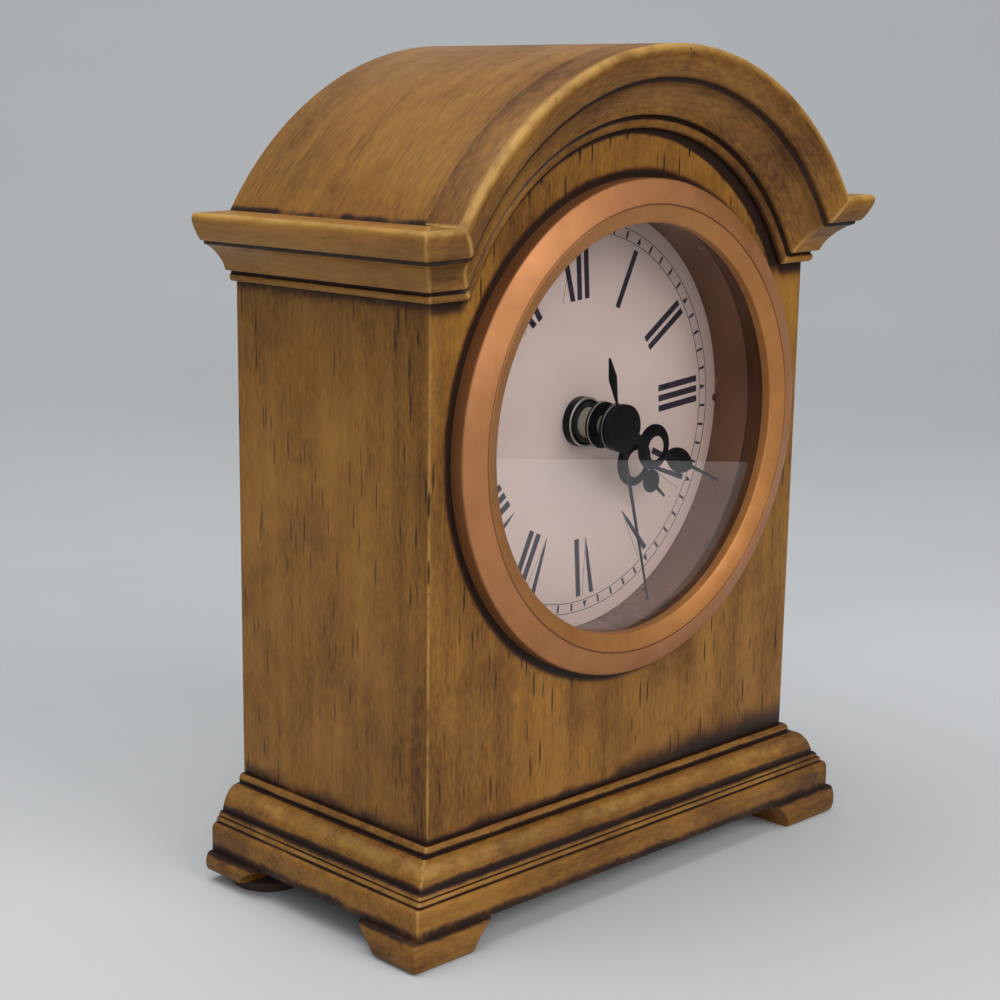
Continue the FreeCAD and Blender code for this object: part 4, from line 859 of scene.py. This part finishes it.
def hand_material():
    """Black paint, with a painted highlight: a narrow ring of bright metal on each of the front faces."""
    t, surface, place = plain("hand_black", HAND_BLACK, 0.34, 0.0, 0.05, 200.0)
    surface.inputs["Specular IOR Level"].default_value = 0.12
    radius = radius_from(t, place, DIAL_Z)
    ring = t.times(t.range(radius, (RING_IN - 0.04) * MM, (RING_IN + 0.04) * MM),
                   t.range(radius, (RING_OUT - 0.05) * MM, (RING_OUT + 0.05) * MM, 1.0, 0.0))
    y = t.split(place)[1]
    fronts = t.strongest(*[t.band(y, face * MM, 0.1 * MM, 0.08 * MM) for face in HIGHLIGHT_RING_FACES])
    highlight_ring = t.times(ring, fronts)
    t.put(t.blend(highlight_ring, HAND_BLACK, HIGHLIGHT_RING_METAL), surface.inputs["Base Color"])
    t.put(highlight_ring, surface.inputs["Metallic"])


hand_material()
print("faces with a rubbed rim:", len(HIGHLIGHT_RING_FACES))

# %% [markdown]
# ## Cell and lens
# The cell has a printed jacket of two colours, under a clear film, which is a coat on the shader. The
# lens is clear and flat. Glass could be faked by a mask that mixes it with see-through, but a full
# transmission with the real index bends and mirrors as it should. Its shine is lower than plain glass,
# as on a coated lens.

# %% Cell jacket and lens
JACKET_BLUE, JACKET_GREY = colour(62, 84, 106), colour(186, 188, 186)
JACKET_EDGE = 8.0


def battery_material():
    t, surface, place = plain("cell_jacket", JACKET_BLUE, 0.32, 0.2)
    surface.inputs["Coat Weight"].default_value = 0.4
    part = t.range(t.split(place)[0], JACKET_EDGE * MM, (JACKET_EDGE + 0.2) * MM)
    t.put(t.blend(part, JACKET_BLUE, JACKET_GREY), surface.inputs["Base Color"])


def lens_material():
    surface = new_material("lens_glass")[1]
    for key, value in (("Base Color", (0.98, 0.98, 0.98, 1.0)), ("Roughness", 0.0), ("IOR", 1.45),
                       ("Transmission Weight", 1.0), ("Specular IOR Level", 0.3)):
        surface.inputs[key].default_value = value


battery_material()
lens_material()
print("materials:", len(MATERIALS))

# %% [markdown]
# ## Cornice and arch
# On the real case one moulding runs along the side, turns round the ear and turns again into the arch,
# and each turn is a mitre. A profile swept along a bent curve would pinch there. So every point of the
# profile gets its own path from the rear left corner to the rear right one, and the mitres come out at
# the true angle, also where the straight ear meets the round arch. Each path is rounded a little where
# it turns, so that the mitres catch the light as worn edges do.

# %% A path for each point of the profile
MITRE_ROUND, ROUND_STEPS = 0.75, 4
LONGEST_SHARE = 0.45
SIDE_MIDDLE = 5.0
ARCH_STEPS = 24


def rounded_path(points, radius, steps):
    """A path with each inner corner rounded in steps + 1 points. Each point has its share of the corner."""
    path = [(points[0], 0.0)]
    for before, here, after in zip(points, points[1:], points[2:]):
        back, on = (before - here).normalized(), (after - here).normalized()
        reach = min(radius, (before - here).length * LONGEST_SHARE, (after - here).length * LONGEST_SHARE)
        bend = min(1.0, (back + on).length)
        for k in range(steps + 1):
            t = k / steps
            begin, end = here + back * reach, here + on * reach
            spot = begin * (1 - t) ** 2 + here * 2 * t * (1 - t) + end * t * t
            path.append((spot, bend * (1.0 - abs(2 * t - 1))))
    path.append((points[-1], 0.0))
    return path


def cornice_path(out, up):
    """The way of one profile point from the rear left corner to the rear right corner."""
    x, y = HALF_WIDTH + CORNICE_SIDE * out, FRONT - CORNICE_FRONT * out
    z = CORNICE_LOW + (CORNICE_TOP - CORNICE_LOW) * up
    radius = ARCH_INNER + (ARCH_OUTER - ARCH_INNER) * up
    mitre = math.sqrt(radius ** 2 - (z - ARCH_CENTRE) ** 2)
    start = math.atan2(mitre, z - ARCH_CENTRE)

    def on_arch(step):
        a = start * (step / ARCH_STEPS - 1)
        return Vector((radius * math.sin(a), y, ARCH_CENTRE + radius * math.cos(a)))

    side = [Vector((-x, REAR, z)), Vector((-x, SIDE_MIDDLE, z)), Vector((-x, y, z)), Vector((-mitre, y, z)),
            on_arch(1)]
    left = rounded_path(side, MITRE_ROUND, ROUND_STEPS)
    arch = [(on_arch(k), 0.0) for k in range(2, 2 * ARCH_STEPS - 1)]
    right = [(Vector((-p.x, p.y, p.z)), corner) for p, corner in reversed(left)]
    return left + arch + right


CORNICE_PATHS = [cornice_path(out, up) for out, up in CORNICE]
LAST = len(CORNICE_PATHS[0]) - 1
print("stations along the cornice:", LAST + 1)

# %% Cut the run at its mitres into five pieces
CORNER = 1 + (ROUND_STEPS + 1) + ROUND_STEPS // 2
MITRE = CORNER + ROUND_STEPS + 1


def cornice_part(name, first, last, material, node):
    sections, run, corner = [], [], []
    for k in range(first, last + 1):
        sections.append([tuple(path[k][0]) for path in CORNICE_PATHS])
        run += RUN
        corner += [path[k][1] for path in CORNICE_PATHS]
    points, faces = loft(sections)
    make_piece(name, points, faces, material, [node], sharp=38,
               levels={"run": run, "corner": corner})


cornice_part("left_cornice_run", 0, CORNER, "wood side cornice", "left_cornice")
cornice_part("left_ear_run", CORNER, MITRE, "wood ear", "left_ear_moulding")
cornice_part("arch_run", MITRE, LAST - MITRE, "wood arch", "arch_moulding")
cornice_part("right_ear_run", LAST - MITRE, LAST - CORNER, "wood ear", "right_ear_moulding")
cornice_part("right_cornice_run", LAST - CORNER, LAST, "wood side cornice", "right_cornice")
print("mitres at stations", CORNER, MITRE, LAST - MITRE, LAST - CORNER)

# %% [markdown]
# ## Roof
# The roof is a thin board bent over the arch, with its rear edge eased. It could be a plane bent by a
# modifier, but the ends have to stay level on the cornice, for each radius at its own angle. So it is a
# loft of sections whose angles are worked out from the height of the cornice's top.

# %% A bent board
ROOF_INNER = 54.8
ROOF_STEPS = 96
ROOF_SECTION = ((ARCH_OUTER, FRONT), (ARCH_OUTER, REAR - 0.35), (ARCH_OUTER - 0.12, REAR - 0.1),
                (ARCH_OUTER - 0.4, REAR), (ROOF_INNER, REAR), (ROOF_INNER, FRONT))


def roof():
    sections = []
    for k in range(ROOF_STEPS + 1):
        section = []
        for radius, y in ROOF_SECTION:
            angle = math.acos((CORNICE_TOP - ARCH_CENTRE) / radius) * (2 * k / ROOF_STEPS - 1)
            section.append((radius * math.sin(angle), y, ARCH_CENTRE + radius * math.cos(angle)))
        sections.append(section)
    points, faces = loft(sections)
    make_piece("roof_shell", points, faces, "wood roof", ["roof_panel"])


roof()
print("roof", ARCH_OUTER - ROOF_INNER, "mm thick")

# %% [markdown]
# ## Base
# The base is a frame of moulded boards, mitred at the front corners, and hollow below. A cube with its
# edges cut by a bevel can't give an ovolo with fine steps. So rings with rounded front corners are
# stacked, one for each point of the profile. The mesh carries two attributes: how far along the profile
# a point lies, for the glaze and painted shade, and how near it is to a corner, for the wear and painted
# highlight.

# %% Stacked rings for the moulded base
BASE_CORNER, REAR_CORNER = 0.55, 0.3
HOLLOW_RIM, HOLLOW_DEEP = 9.0, 3.0


def rounded_ring(x, front, rear, z, radius, steps=5):
    """A ring of points round a board with rounded front corners, and how near each is to a corner."""
    ring, corner = [], []
    for centre_x, centre_y, begin, size in ((x, rear, 0, REAR_CORNER), (-x, rear, 90, REAR_CORNER),
                                            (-x, front, 180, radius), (x, front, 270, radius)):
        sign_x, sign_y = (1 if centre_x > 0 else -1), (1 if centre_y == rear else -1)
        for k in range(steps + 1):
            angle = math.radians(begin + 90 * k / steps)
            ring.append((centre_x - sign_x * size + size * math.cos(angle),
                         centre_y - sign_y * size + size * math.sin(angle), z))
            corner.append((1.0 - abs(2 * k / steps - 1)) if begin >= 180 else 0.0)
    return ring, corner


def base():
    sections, run, corner = [], [], []
    for (out, down), share in zip(BASE_PROFILE, BASE_RUN):
        ring, near = rounded_ring(HALF_WIDTH + BASE_SIDE * out, FRONT - BASE_FRONT * out, REAR,
                                  BASE_TOP - (BASE_TOP - BASE_LOW) * down, BASE_CORNER)
        sections.append(ring)
        run += [share] * len(ring)
        corner += near
    for z in (BASE_LOW, BASE_LOW + HOLLOW_DEEP):
        ring = rounded_ring(HALF_WIDTH + BASE_SIDE - HOLLOW_RIM, FRONT - BASE_FRONT + HOLLOW_RIM,
                            REAR - HOLLOW_RIM, z, REAR_CORNER)[0]
        sections.append(ring)
        run += [1.0] * len(ring)
        corner += [0.0] * len(ring)
    points, faces = loft(sections)
    make_piece("base_board", points, faces, "wood base", ["base_plinth"], sharp=40,
               levels={"run": run, "corner": corner})


base()
print("rings in the base:", len(BASE_PROFILE) + 2)

# %% [markdown]
# ## Feet
# Each foot is a short bracket under a corner, with a rolled toe outside and a cove at its inner end. The
# rear ones are lower by the pads under them. Four copies of one mesh would do for a plain block, but
# left and right are mirrored and the rear ones stop flush with the back. So one function lofts a foot
# from its side and end.

# %% Feet with a toe and a cove
FOOT_FRONT, FOOT_SIDE = 17.5, 14.0
PAD_TALL = 1.8
TOE_SIDE, TOE_FRONT = 1.7, 0.9
TOE = [(0.0, 0.0), (0.28, 0.045)] + arc_through((0.28, 0.045), (0.86, 0.16), (1.0, 0.42), 6) \
    + arc_through((1.0, 0.42), (0.95, 0.74), (0.55, 0.92), 6) + [(0.2, 1.0)]
COVE_DEEP, COVE_START, COVE_STEP = 4.2, 0.1, 0.14
FOOT_CORNER, FOOT_EDGE, FOOT_STEPS = 0.5, 0.3, 4


def cove_at(down):
    """How far the inner end of a foot is hollowed at a share of its height from the top."""
    if down <= COVE_START:
        return 0.0
    turn = (down - COVE_START) / (1.0 - COVE_START) * math.pi / 2
    return min(1.0, COVE_STEP + math.sin(turn) * (1.0 - COVE_STEP))


def foot_ring(x_in, x_out, y_in, y_out, z, side):
    """The outline of a foot at one height, with its four corners rounded."""
    ring = []
    inward = 1 if y_out > y_in else -1
    for cx, cy, size in ((x_in, y_in, FOOT_EDGE), (x_out, y_in, FOOT_EDGE), (x_out, y_out, FOOT_CORNER),
                         (x_in, y_out, FOOT_EDGE)):
        to_x = 1 if cx == x_in else -1
        to_y = inward if cy == y_in else -inward
        flank, face = math.atan2(0.0, -to_x), math.atan2(-to_y, 0.0)
        start, end = (face, flank) if (to_x > 0) != (cy == y_in) else (flank, face)
        sweep = (end - start + math.pi) % math.tau - math.pi
        for k in range(FOOT_STEPS + 1):
            angle = start + sweep * k / FOOT_STEPS
            ring.append(((cx + to_x * size + size * math.cos(angle)) * side,
                         cy + to_y * size + size * math.sin(angle), z))
    return ring


def foot(name, side, rear, node):
    tall = BASE_LOW - (PAD_TALL if rear else 0.0)
    flank, face = HALF_WIDTH + BASE_SIDE, FRONT - BASE_FRONT
    sections = []
    for out, down in TOE:
        hollow = cove_at(down) * COVE_DEEP
        if rear:
            y_out, y_in = REAR, REAR - FOOT_SIDE + hollow
        else:
            y_out, y_in = face - TOE_FRONT * out, face + FOOT_SIDE - hollow
        sections.append(foot_ring(flank - FOOT_FRONT + hollow, flank + TOE_SIDE * out, y_in, y_out,
                                  BASE_LOW - tall * down, side))
    points, faces = loft(sections)
    make_piece(name, points, faces, "wood foot", [node], sharp=40)


foot("foot_front_left", -1, False, "front_left_foot")
foot("foot_front_right", 1, False, "front_right_foot")
foot("foot_rear_left", -1, True, "rear_left_foot")
foot("foot_rear_right", 1, True, "rear_right_foot")

# %% [markdown]
# ## Front panel and plain boards
# The front panel has a round bore, and its two long front corners are worn round. A Bevel modifier would
# round the bore too, which the bezel hides and the painted shadow round the bezel lies against. So the
# two edges are picked out by where they are and bevelled alone. The other boards keep their CAD shape.

# %% Round the two long corners of the front
CORNER_ROUND = 0.7
EDGE_REACH, LONG_EDGE = 0.01, 10.0


def on_front_corner(point):
    off = abs(point.y - FRONT * MM), abs(abs(point.x) - HALF_WIDTH * MM)
    return max(off) < EDGE_REACH * MM


def front_board():
    mesh, work = merged_copy("front_panel")
    edges = [edge for edge in work.edges if all(on_front_corner(v.co) for v in edge.verts)
             and abs(edge.verts[0].co.z - edge.verts[1].co.z) > LONG_EDGE * MM]
    bmesh.ops.bevel(work, geom=edges, offset=CORNER_ROUND * MM, segments=4, profile=0.5, affect="EDGES")
    write_mesh(work, mesh)
    mesh.name = "front_board"
    shade_edges(mesh, 40)
    finish_piece("front_board", mesh, "wood front", ["front_panel"])


front_board()
softened("left_side_panel", 0.0, "wood side")
softened("right_side_panel", 0.0, "wood side")
softened("back_panel", 0.25, "wood inner")
softened("glue_blocks", 0.2, "wood inner")
softened("foot_pads", 0.35, "foot_pad_rubber", segments=3)
print("corners of the front rounded by", CORNER_ROUND)

# %% [markdown]
# ## Dial insert
# The bezel has a crest: its outer ring falls to the rim and its inner ring falls to the opening, with a
# fine groove between them. The lens is a flat disc behind it, and a round nut holds the dial on the
# movement's bush. All three are turned parts, so each is an outline turned round the same axis. The Spin
# tool does that in the editor. Here the points are turned in code, and each corner of the outline gets a
# small radius of its own.

# %% Turn an outline round the dial's axis
def corner_arc(before, here, after, radius, steps=4):
    """One corner of an outline, rounded."""
    a, h, b = Vector(before), Vector(here), Vector(after)
    back, on = (a - h).normalized(), (b - h).normalized()
    made = []
    for k in range(steps + 1):
        t = k / steps
        p = (h + back * radius) * (1 - t) ** 2 + h * 2 * t * (1 - t) + (h + on * radius) * t * t
        made.append((p.x, p.y))
    return made


def soft_outline(corners):
    """A closed outline from (radius, y, rounding) corners."""
    made = []
    spots = [(radius, y) for radius, y, _ in corners]
    for k, (radius, y, rounding) in enumerate(corners):
        if rounding:
            made += corner_arc(spots[k - 1], (radius, y), spots[(k + 1) % len(spots)], rounding)
        else:
            made.append((radius, y))
    return made


def turned(name, corners, finish, node, steps):
    outline = soft_outline(corners)
    points, faces = [], []
    count = len(outline)
    for k in range(steps):
        angle = math.tau * k / steps
        points += [(radius * math.sin(angle), y, DIAL_Z + radius * math.cos(angle))
                   for radius, y in outline]
        here, there = k * count, (k + 1) % steps * count
        for n in range(count):
            m = (n + 1) % count
            faces.append((here + n, here + m, there + m, there + n))
    make_piece(name, points, faces, finish, [node])


# The flat lens closes round the axis at the radius of its pole.
LENS_FRONT, OPENING, POLE = -22.15, 37.3, 0.0001
turned("bezel", [(45.1, FRONT, 0), (45.1, -23.35, 0.3), (40.72, -25.1, 0.12),
                 (40.66, -24.88, 0.05), (40.4, -24.98, 0.05), (40.36, -25.13, 0.12),
                 (OPENING, -23.85, 0.25), (OPENING, LENS_FRONT, 0), (40.6, LENS_FRONT, 0),
                 (40.6, FRONT, 0)], "bezel_copper", "bezel_ring", 192)
turned("lens_disc", [(POLE, LENS_FRONT, 0), (40.5, LENS_FRONT, 0), (40.5, FRONT, 0), (POLE, FRONT, 0)],
       "lens_glass", "lens", 160)
softened("dial_drum", 0.0, "drum_finish")
softened("dial_plate", 0.0, "dial_metal")
turned("nut", [(3.7, -10.05, 0.08), (4.7, -10.05, 0.22), (4.7, DIAL_FACE, 0.1), (3.7, DIAL_FACE, 0)],
       "hand_black", "shaft_nut", 72)
softened("shaft_washer", 0.08, "washer_rubber")
print("opening of the bezel:", 2 * OPENING)

# %% [markdown]
# ## Printed numerals
# The dial has Roman numerals with their feet to the centre and a minute track of two fine circles, with
# a small triangle at each hour. A text object could give the letters, but no common typeface has these
# tall strokes. So each letter is two or three flat strokes, and each mark is a very thin solid on the
# dial's face. The whole print is turned a little in its bore, as it is in the photo.

# %% Strokes, numerals and circles
NUMERAL_FOOT, NUMERAL_TALL = 22.5, 11.3
TRACK_IN, TRACK_OUT, TRACK_LINE = 34.7, 36.7, 0.13
MARK_HALF, MARK_FOOT, MARK_TIP = 0.55, 0.35, 0.2
DIAL_TURN = math.radians(-4.2)
INK = 0.03
# Each letter: how wide it stands, and its strokes as (across, share of the height) corners.
LETTERS = {
    "I": (2.0, [[(-0.62, 0.0), (0.62, 0.0), (0.62, 1.0), (-0.62, 1.0)]]),
    "V": (3.5, [[(-1.5, 1.0), (-0.35, 1.0), (0.35, 0.3), (0.25, 0.0), (-0.35, 0.25)],
                [(1.52, 1.0), (1.6, 1.0), (0.3, 0.0), (0.24, 0.0)]]),
    "X": (4.0, [[(-1.8, 1.0), (-0.55, 1.0), (1.8, 0.0), (0.55, 0.0)],
                [(1.52, 1.0), (1.6, 1.0), (-1.52, 0.0), (-1.6, 0.0)]]),
}
NUMERALS = ["XII", "I", "II", "III", "IV", "V", "VI", "VII", "VIII", "IX", "X", "XI"]


def on_dial(across, radius, angle, y):
    angle += DIAL_TURN
    return (across * math.cos(angle) + radius * math.sin(angle), y,
            DIAL_Z - across * math.sin(angle) + radius * math.cos(angle))


def print_marks(name, shapes):
    """Thin solid marks from flat shapes of (across, radius, angle) corners."""
    points, faces = [], []
    for shape in shapes:
        start, count = len(points), len(shape)
        for y in (DIAL_FACE, DIAL_FACE - INK):
            points += [on_dial(across, radius, angle, y) for across, radius, angle in shape]
        faces.append(tuple(start + k for k in range(count)))
        faces.append(tuple(start + count + k for k in range(count)))
        for k in range(count):
            m = (k + 1) % count
            faces.append((start + k, start + m, start + count + m, start + count + k))
    make_piece(name, points, faces, "dial_ink", None)


def numeral_shapes():
    shapes = []
    for hour, word in enumerate(NUMERALS):
        angle = math.tau * hour / len(NUMERALS)
        left = -sum(LETTERS[letter][0] for letter in word) / 2
        for letter in word:
            width, strokes = LETTERS[letter]
            middle = left + width / 2
            for stroke in strokes:
                shapes.append([(middle + a, NUMERAL_FOOT + NUMERAL_TALL * b, angle) for a, b in stroke])
            left += width
        low, high = TRACK_IN + MARK_FOOT, TRACK_OUT - MARK_TIP
        shapes.append([(-MARK_HALF, low, angle), (MARK_HALF, low, angle), (0.0, high, angle)])
    return shapes


def circle_shapes(radius, steps=180):
    shapes = []
    for k in range(steps):
        a, b = math.tau * k / steps, math.tau * (k + 1) / steps
        outer = radius + TRACK_LINE
        shapes.append([(0.0, radius, a), (0.0, radius, b), (0.0, outer, b), (0.0, outer, a)])
    return shapes


print_marks("numerals", numeral_shapes())
print_marks("track_circle_1", circle_shapes(TRACK_IN))
print_marks("track_circle_2", circle_shapes(TRACK_OUT))
print("printed strokes:", len(numeral_shapes()))

# %% [markdown]
# ## Minute bars
# Between the two circles stands a bar for each minute, and none at the hours, where the triangles are.
# Sixty bars round a circle repeat, so a Geometry Nodes tree makes them: a circle of points, a bar on
# each, turned by its number, with each fifth left out. Its sizes are inputs of the tree. Realize
# Instances makes one mesh of them before the export, which would drop the copies otherwise.

# %% A ring of bars from a node tree
BARS, BAR_LONG, BAR_WIDE = 60, 1.45, 0.5


def bar_ring_tree():
    """Bars round a circle, leaving out each fifth."""
    tree = bpy.data.node_groups.new("Ring of bars", "GeometryNodeTree")
    for title, kind in (("Count", "Int"), ("Radius", "Float"), ("Size", "Vector"), ("Centre", "Vector"),
                        ("Ink", "Material")):
        tree.interface.new_socket(title, in_out="INPUT", socket_type="NodeSocket" + kind)
    tree.interface.new_socket("Geometry", in_out="OUTPUT", socket_type="NodeSocketGeometry")
    t = Tree(tree)
    entry, leave = t.add("NodeGroupInput").outputs, t.add("NodeGroupOutput").inputs
    circle, bar = t.add("GeometryNodeMeshCircle"), t.add("GeometryNodeMeshCube")
    t.put(entry["Count"], circle.inputs["Vertices"])
    t.put(entry["Radius"], circle.inputs["Radius"])
    t.put(entry["Size"], bar.inputs["Size"])
    number = t.add("GeometryNodeInputIndex").outputs[0]
    turn = t.times(t.math("DIVIDE", number, entry["Count"]), math.tau)
    place, stand = t.add("GeometryNodeInstanceOnPoints"), t.add("GeometryNodeTransform")
    t.put(circle.outputs["Mesh"], place.inputs["Points"])
    t.put(bar.outputs["Mesh"], place.inputs["Instance"])
    t.put(t.vector(None, None, turn), place.inputs["Rotation"])
    t.put(t.math("MODULO", number, 5.0), place.inputs["Selection"])
    t.put(place.outputs[0], stand.inputs["Geometry"])
    t.put(entry["Centre"], stand.inputs["Translation"])
    stand.inputs["Rotation"].default_value = (math.radians(90), DIAL_TURN, 0.0)
    real, ink = t.add("GeometryNodeRealizeInstances"), t.add("GeometryNodeSetMaterial")
    t.put(stand.outputs[0], real.inputs[0])
    t.put(real.outputs[0], ink.inputs["Geometry"])
    t.put(entry["Ink"], ink.inputs["Material"])
    t.put(ink.outputs[0], leave[0])
    return tree


def minute_bars():
    tree = bar_ring_tree()
    maker = bpy.data.objects.new("minute_bars_maker", bpy.data.meshes.new("minute_bars_maker"))
    bpy.context.scene.collection.objects.link(maker)
    modifier = maker.modifiers.new("bars", "NODES")
    modifier.node_group = tree
    values = {"Count": BARS, "Radius": (TRACK_IN + TRACK_OUT) / 2 * MM,
              "Size": (BAR_LONG * MM, BAR_WIDE * MM, INK * MM),
              "Centre": (0.0, (DIAL_FACE - INK / 2) * MM, DIAL_Z * MM), "Ink": MATERIALS["dial_ink"]}
    for item in tree.interface.items_tree:
        if item.in_out == "INPUT":
            modifier[item.identifier] = values[item.name]
    maker.update_tag()
    bpy.context.view_layer.update()
    made = plain_mesh(maker)
    made.name = "minute_bars"
    finish_piece("minute_bars", made, "dial_ink", None)
    return len(made.polygons)


print("faces in the minute bars:", minute_bars())

# %% [markdown]
# ## Hands
# The hands are stamped and turned, with rings and leaves that the CAD part already has. Drawing them
# again would only risk a hand that no longer fits its shaft. So the CAD shapes stay, and each edge is
# eased a little, so that the black paint shows a thin line of light.

# %% Hands
for hand, width in (("hour_hand", 0.07), ("minute_hand", 0.07), ("second_hand", 0.05)):
    piece = softened(hand, width, "hand_black")
    print(hand, "faces:", len(piece.data.polygons))

# %% [markdown]
# ## Movement
# Behind the dial is a battery movement: a plastic housing with its cover, a full train of wheels, the
# motor's coil and stator, a circuit board and the cell. Little of it shows, through the round opening at
# the back, but each piece is there and keeps its CAD shape. Mouldings never have sharp edges, so all of
# them are softened, the wheels by very little, because a tooth is small.

# %% Soften each piece of the movement
WHEELS = ("hour_wheel", "cannon_pinion", "minute_wheel", "centre_wheel", "third_wheel", "seconds_wheel",
          "intermediate_wheel", "rotor")
WHEEL_EDGE = 0.04
MOVEMENT = [("movement_housing", 0.15, "movement_plastic"), ("train_plate", 0.1, "movement_plastic"),
            ("movement_cover", 0.2, "movement_plastic"), ("setting_knob", 0.3, "movement_plastic")]
MOVEMENT += [(wheel, WHEEL_EDGE, "gear_plastic") for wheel in WHEELS]
MOVEMENT += [("stator", 0.05, "motor_steel"), ("circuit_board", 0.05, "board_plastic"),
             ("quartz_crystal", 0.15, "crystal_can"), ("positive_contact", 0.08, "contact_steel"),
             ("negative_contact", 0.08, "contact_steel"), ("battery", 0.4, "cell_jacket"),
             ("motor_coil", 0.1, "coil_copper")]
for node, width, finish in MOVEMENT:
    softened(node, width, finish)
print("pieces of the movement:", len(MOVEMENT))

# %% [markdown]
# ## Table and backdrop
# The clock stands on a pale paper that curves up behind it, as in a photographer's studio. A plain plane
# would show a hard horizon. On the right the table ends a little way off, because the lens mirrors its
# far edge in the photo, with a dark room above it.

# %% A sweep of paper
TABLE_TURN = math.radians(43.0)
TABLE_NEAR, TABLE_FAR = -1.2, 0.5
TABLE_RIGHT, PAPER_HALF = 0.43, 2.2
SWEEP, WALL_TOP = 0.5, 1.8
SWEEP_STEPS = 10


def paper_sweep():
    """A strip along the view: the flat table, a quarter circle, and the wall above it."""
    profile = [(TABLE_NEAR, 0.0), (TABLE_FAR - 0.05, 0.0), (TABLE_FAR, 0.0)]
    for k in range(1, SWEEP_STEPS + 1):
        a = math.radians(90 / SWEEP_STEPS * k)
        profile.append((TABLE_FAR + SWEEP * math.sin(a), SWEEP - SWEEP * math.cos(a)))
    profile.append((TABLE_FAR + SWEEP, WALL_TOP))
    points, faces = [], []
    for along, high in profile:
        for across in (-PAPER_HALF, TABLE_RIGHT if along < TABLE_FAR else PAPER_HALF):
            points.append((along * math.sin(TABLE_TURN) + across * math.cos(TABLE_TURN),
                           along * math.cos(TABLE_TURN) - across * math.sin(TABLE_TURN), high))
    for k in range(len(profile) - 1):
        faces.append((2 * k, 2 * k + 1, 2 * k + 3, 2 * k + 2))
    mesh = bpy.data.meshes.new("floor")
    mesh.from_pydata(points, [], faces)
    mesh.shade_smooth()
    plain("studio paper", colour(182, 185, 188), 0.75, 0.0, 0.004, 8.0)
    mesh.materials.append(MATERIALS["studio paper"])
    sweep = bpy.data.objects.new("floor", mesh)
    bpy.context.scene.collection.objects.link(sweep)
    return sweep


paper = paper_sweep()
print("paper sweep, faces:", len(paper.data.polygons))

# %% [markdown]
# ## Lights and room
# The photo has soft light from above and from the left, and shadows that are weak and pale. One strong
# lamp would cut hard edges. So three large discs light the clock: a key above, a fill on the left and a
# front light that reaches into the drum. The room gives the rest. It is dark low on the right, and the
# lens mirrors that.

# %% Three discs of light and a room
def light(name, place, height, size, power, shade):
    """A round lamp that looks at the clock's middle at a height."""
    lamp = bpy.data.lights.new(name, "AREA")
    lamp.shape, lamp.size, lamp.energy, lamp.color = "DISK", size, power, shade
    holder = bpy.data.objects.new(name, lamp)
    holder.location = place
    holder.rotation_euler = (Vector((0.0, 0.0, height)) - Vector(place)).to_track_quat("-Z", "Y").to_euler()
    bpy.context.scene.collection.objects.link(holder)
    return holder


def room(strength, pale, dark):
    """An even pale room, with a dark part low on the right."""
    world = bpy.data.worlds.new("studio")
    bpy.context.scene.world = world
    world.use_nodes = True
    t = Tree(world.node_tree)
    toward = t.split(t.add("ShaderNodeTexCoord").outputs["Generated"])
    rightward = t.minus(t.times(toward[0], 0.73), t.times(toward[1], 0.68))
    dim = t.times(t.range(rightward, 0.45, 0.75), t.range(toward[2], 0.1, 0.4, 1.0, 0.0))
    background = world.node_tree.nodes["Background"]
    t.put(t.blend(dim, pale, dark), background.inputs["Color"])
    background.inputs["Strength"].default_value = strength


lights = [light("key", (-0.2, 0.12, 0.95), 0.06, 0.9, 7.0, (1.0, 0.99, 0.97)),
          light("fill", (-0.7, -0.75, 0.5), 0.07, 0.8, 4.1, (1.0, 0.98, 0.95)),
          light("front", (0.1, -0.82, 0.56), 0.09, 0.6, 5.3, (1.0, 0.97, 0.95))]
room(0.4, (0.80, 0.83, 0.86, 1.0), (0.07, 0.065, 0.06, 1.0))
bpy.context.scene.view_settings.view_transform = "Standard"
print("lights:", [lamp.name for lamp in lights])

# %% [markdown]
# ## Camera
# The photo was taken from a little above, on the clock's left. Moving a camera by eye until the edges
# match is slow. Here its place, aim, roll and lens were worked out from the outlines of the case, the
# bezel and the base in the picture, so that the render lies over the photo.

# %% Camera
PICTURE, FOCAL, SENSOR = 1000, 2045.25, 36.0
EYE, AIM = Vector((-0.28213512, -0.26075994, 0.15289725)), Vector((-0.07834130, -0.02065, 0.07873268))
ROLL = -0.00882496

lens = bpy.data.cameras.new("camera")
lens.sensor_width, lens.lens = SENSOR, FOCAL / PICTURE * SENSOR
lens.shift_x, lens.shift_y = 0.2, 0.0378
camera = bpy.data.objects.new("camera", lens)
bpy.context.scene.collection.objects.link(camera)
bpy.context.scene.camera = camera
ahead = (AIM - EYE).normalized()
right = ahead.cross(Vector((0.0, 0.0, 1.0))).normalized()
up = right.cross(ahead)
right, up = right * math.cos(ROLL) + up * math.sin(ROLL), up * math.cos(ROLL) - right * math.sin(ROLL)
camera.matrix_world = Matrix.Translation(EYE) @ Matrix((right, up, -ahead)).transposed().to_4x4()
print("lens:", round(lens.lens, 1), "mm, from", round((AIM - EYE).length, 3), "m")
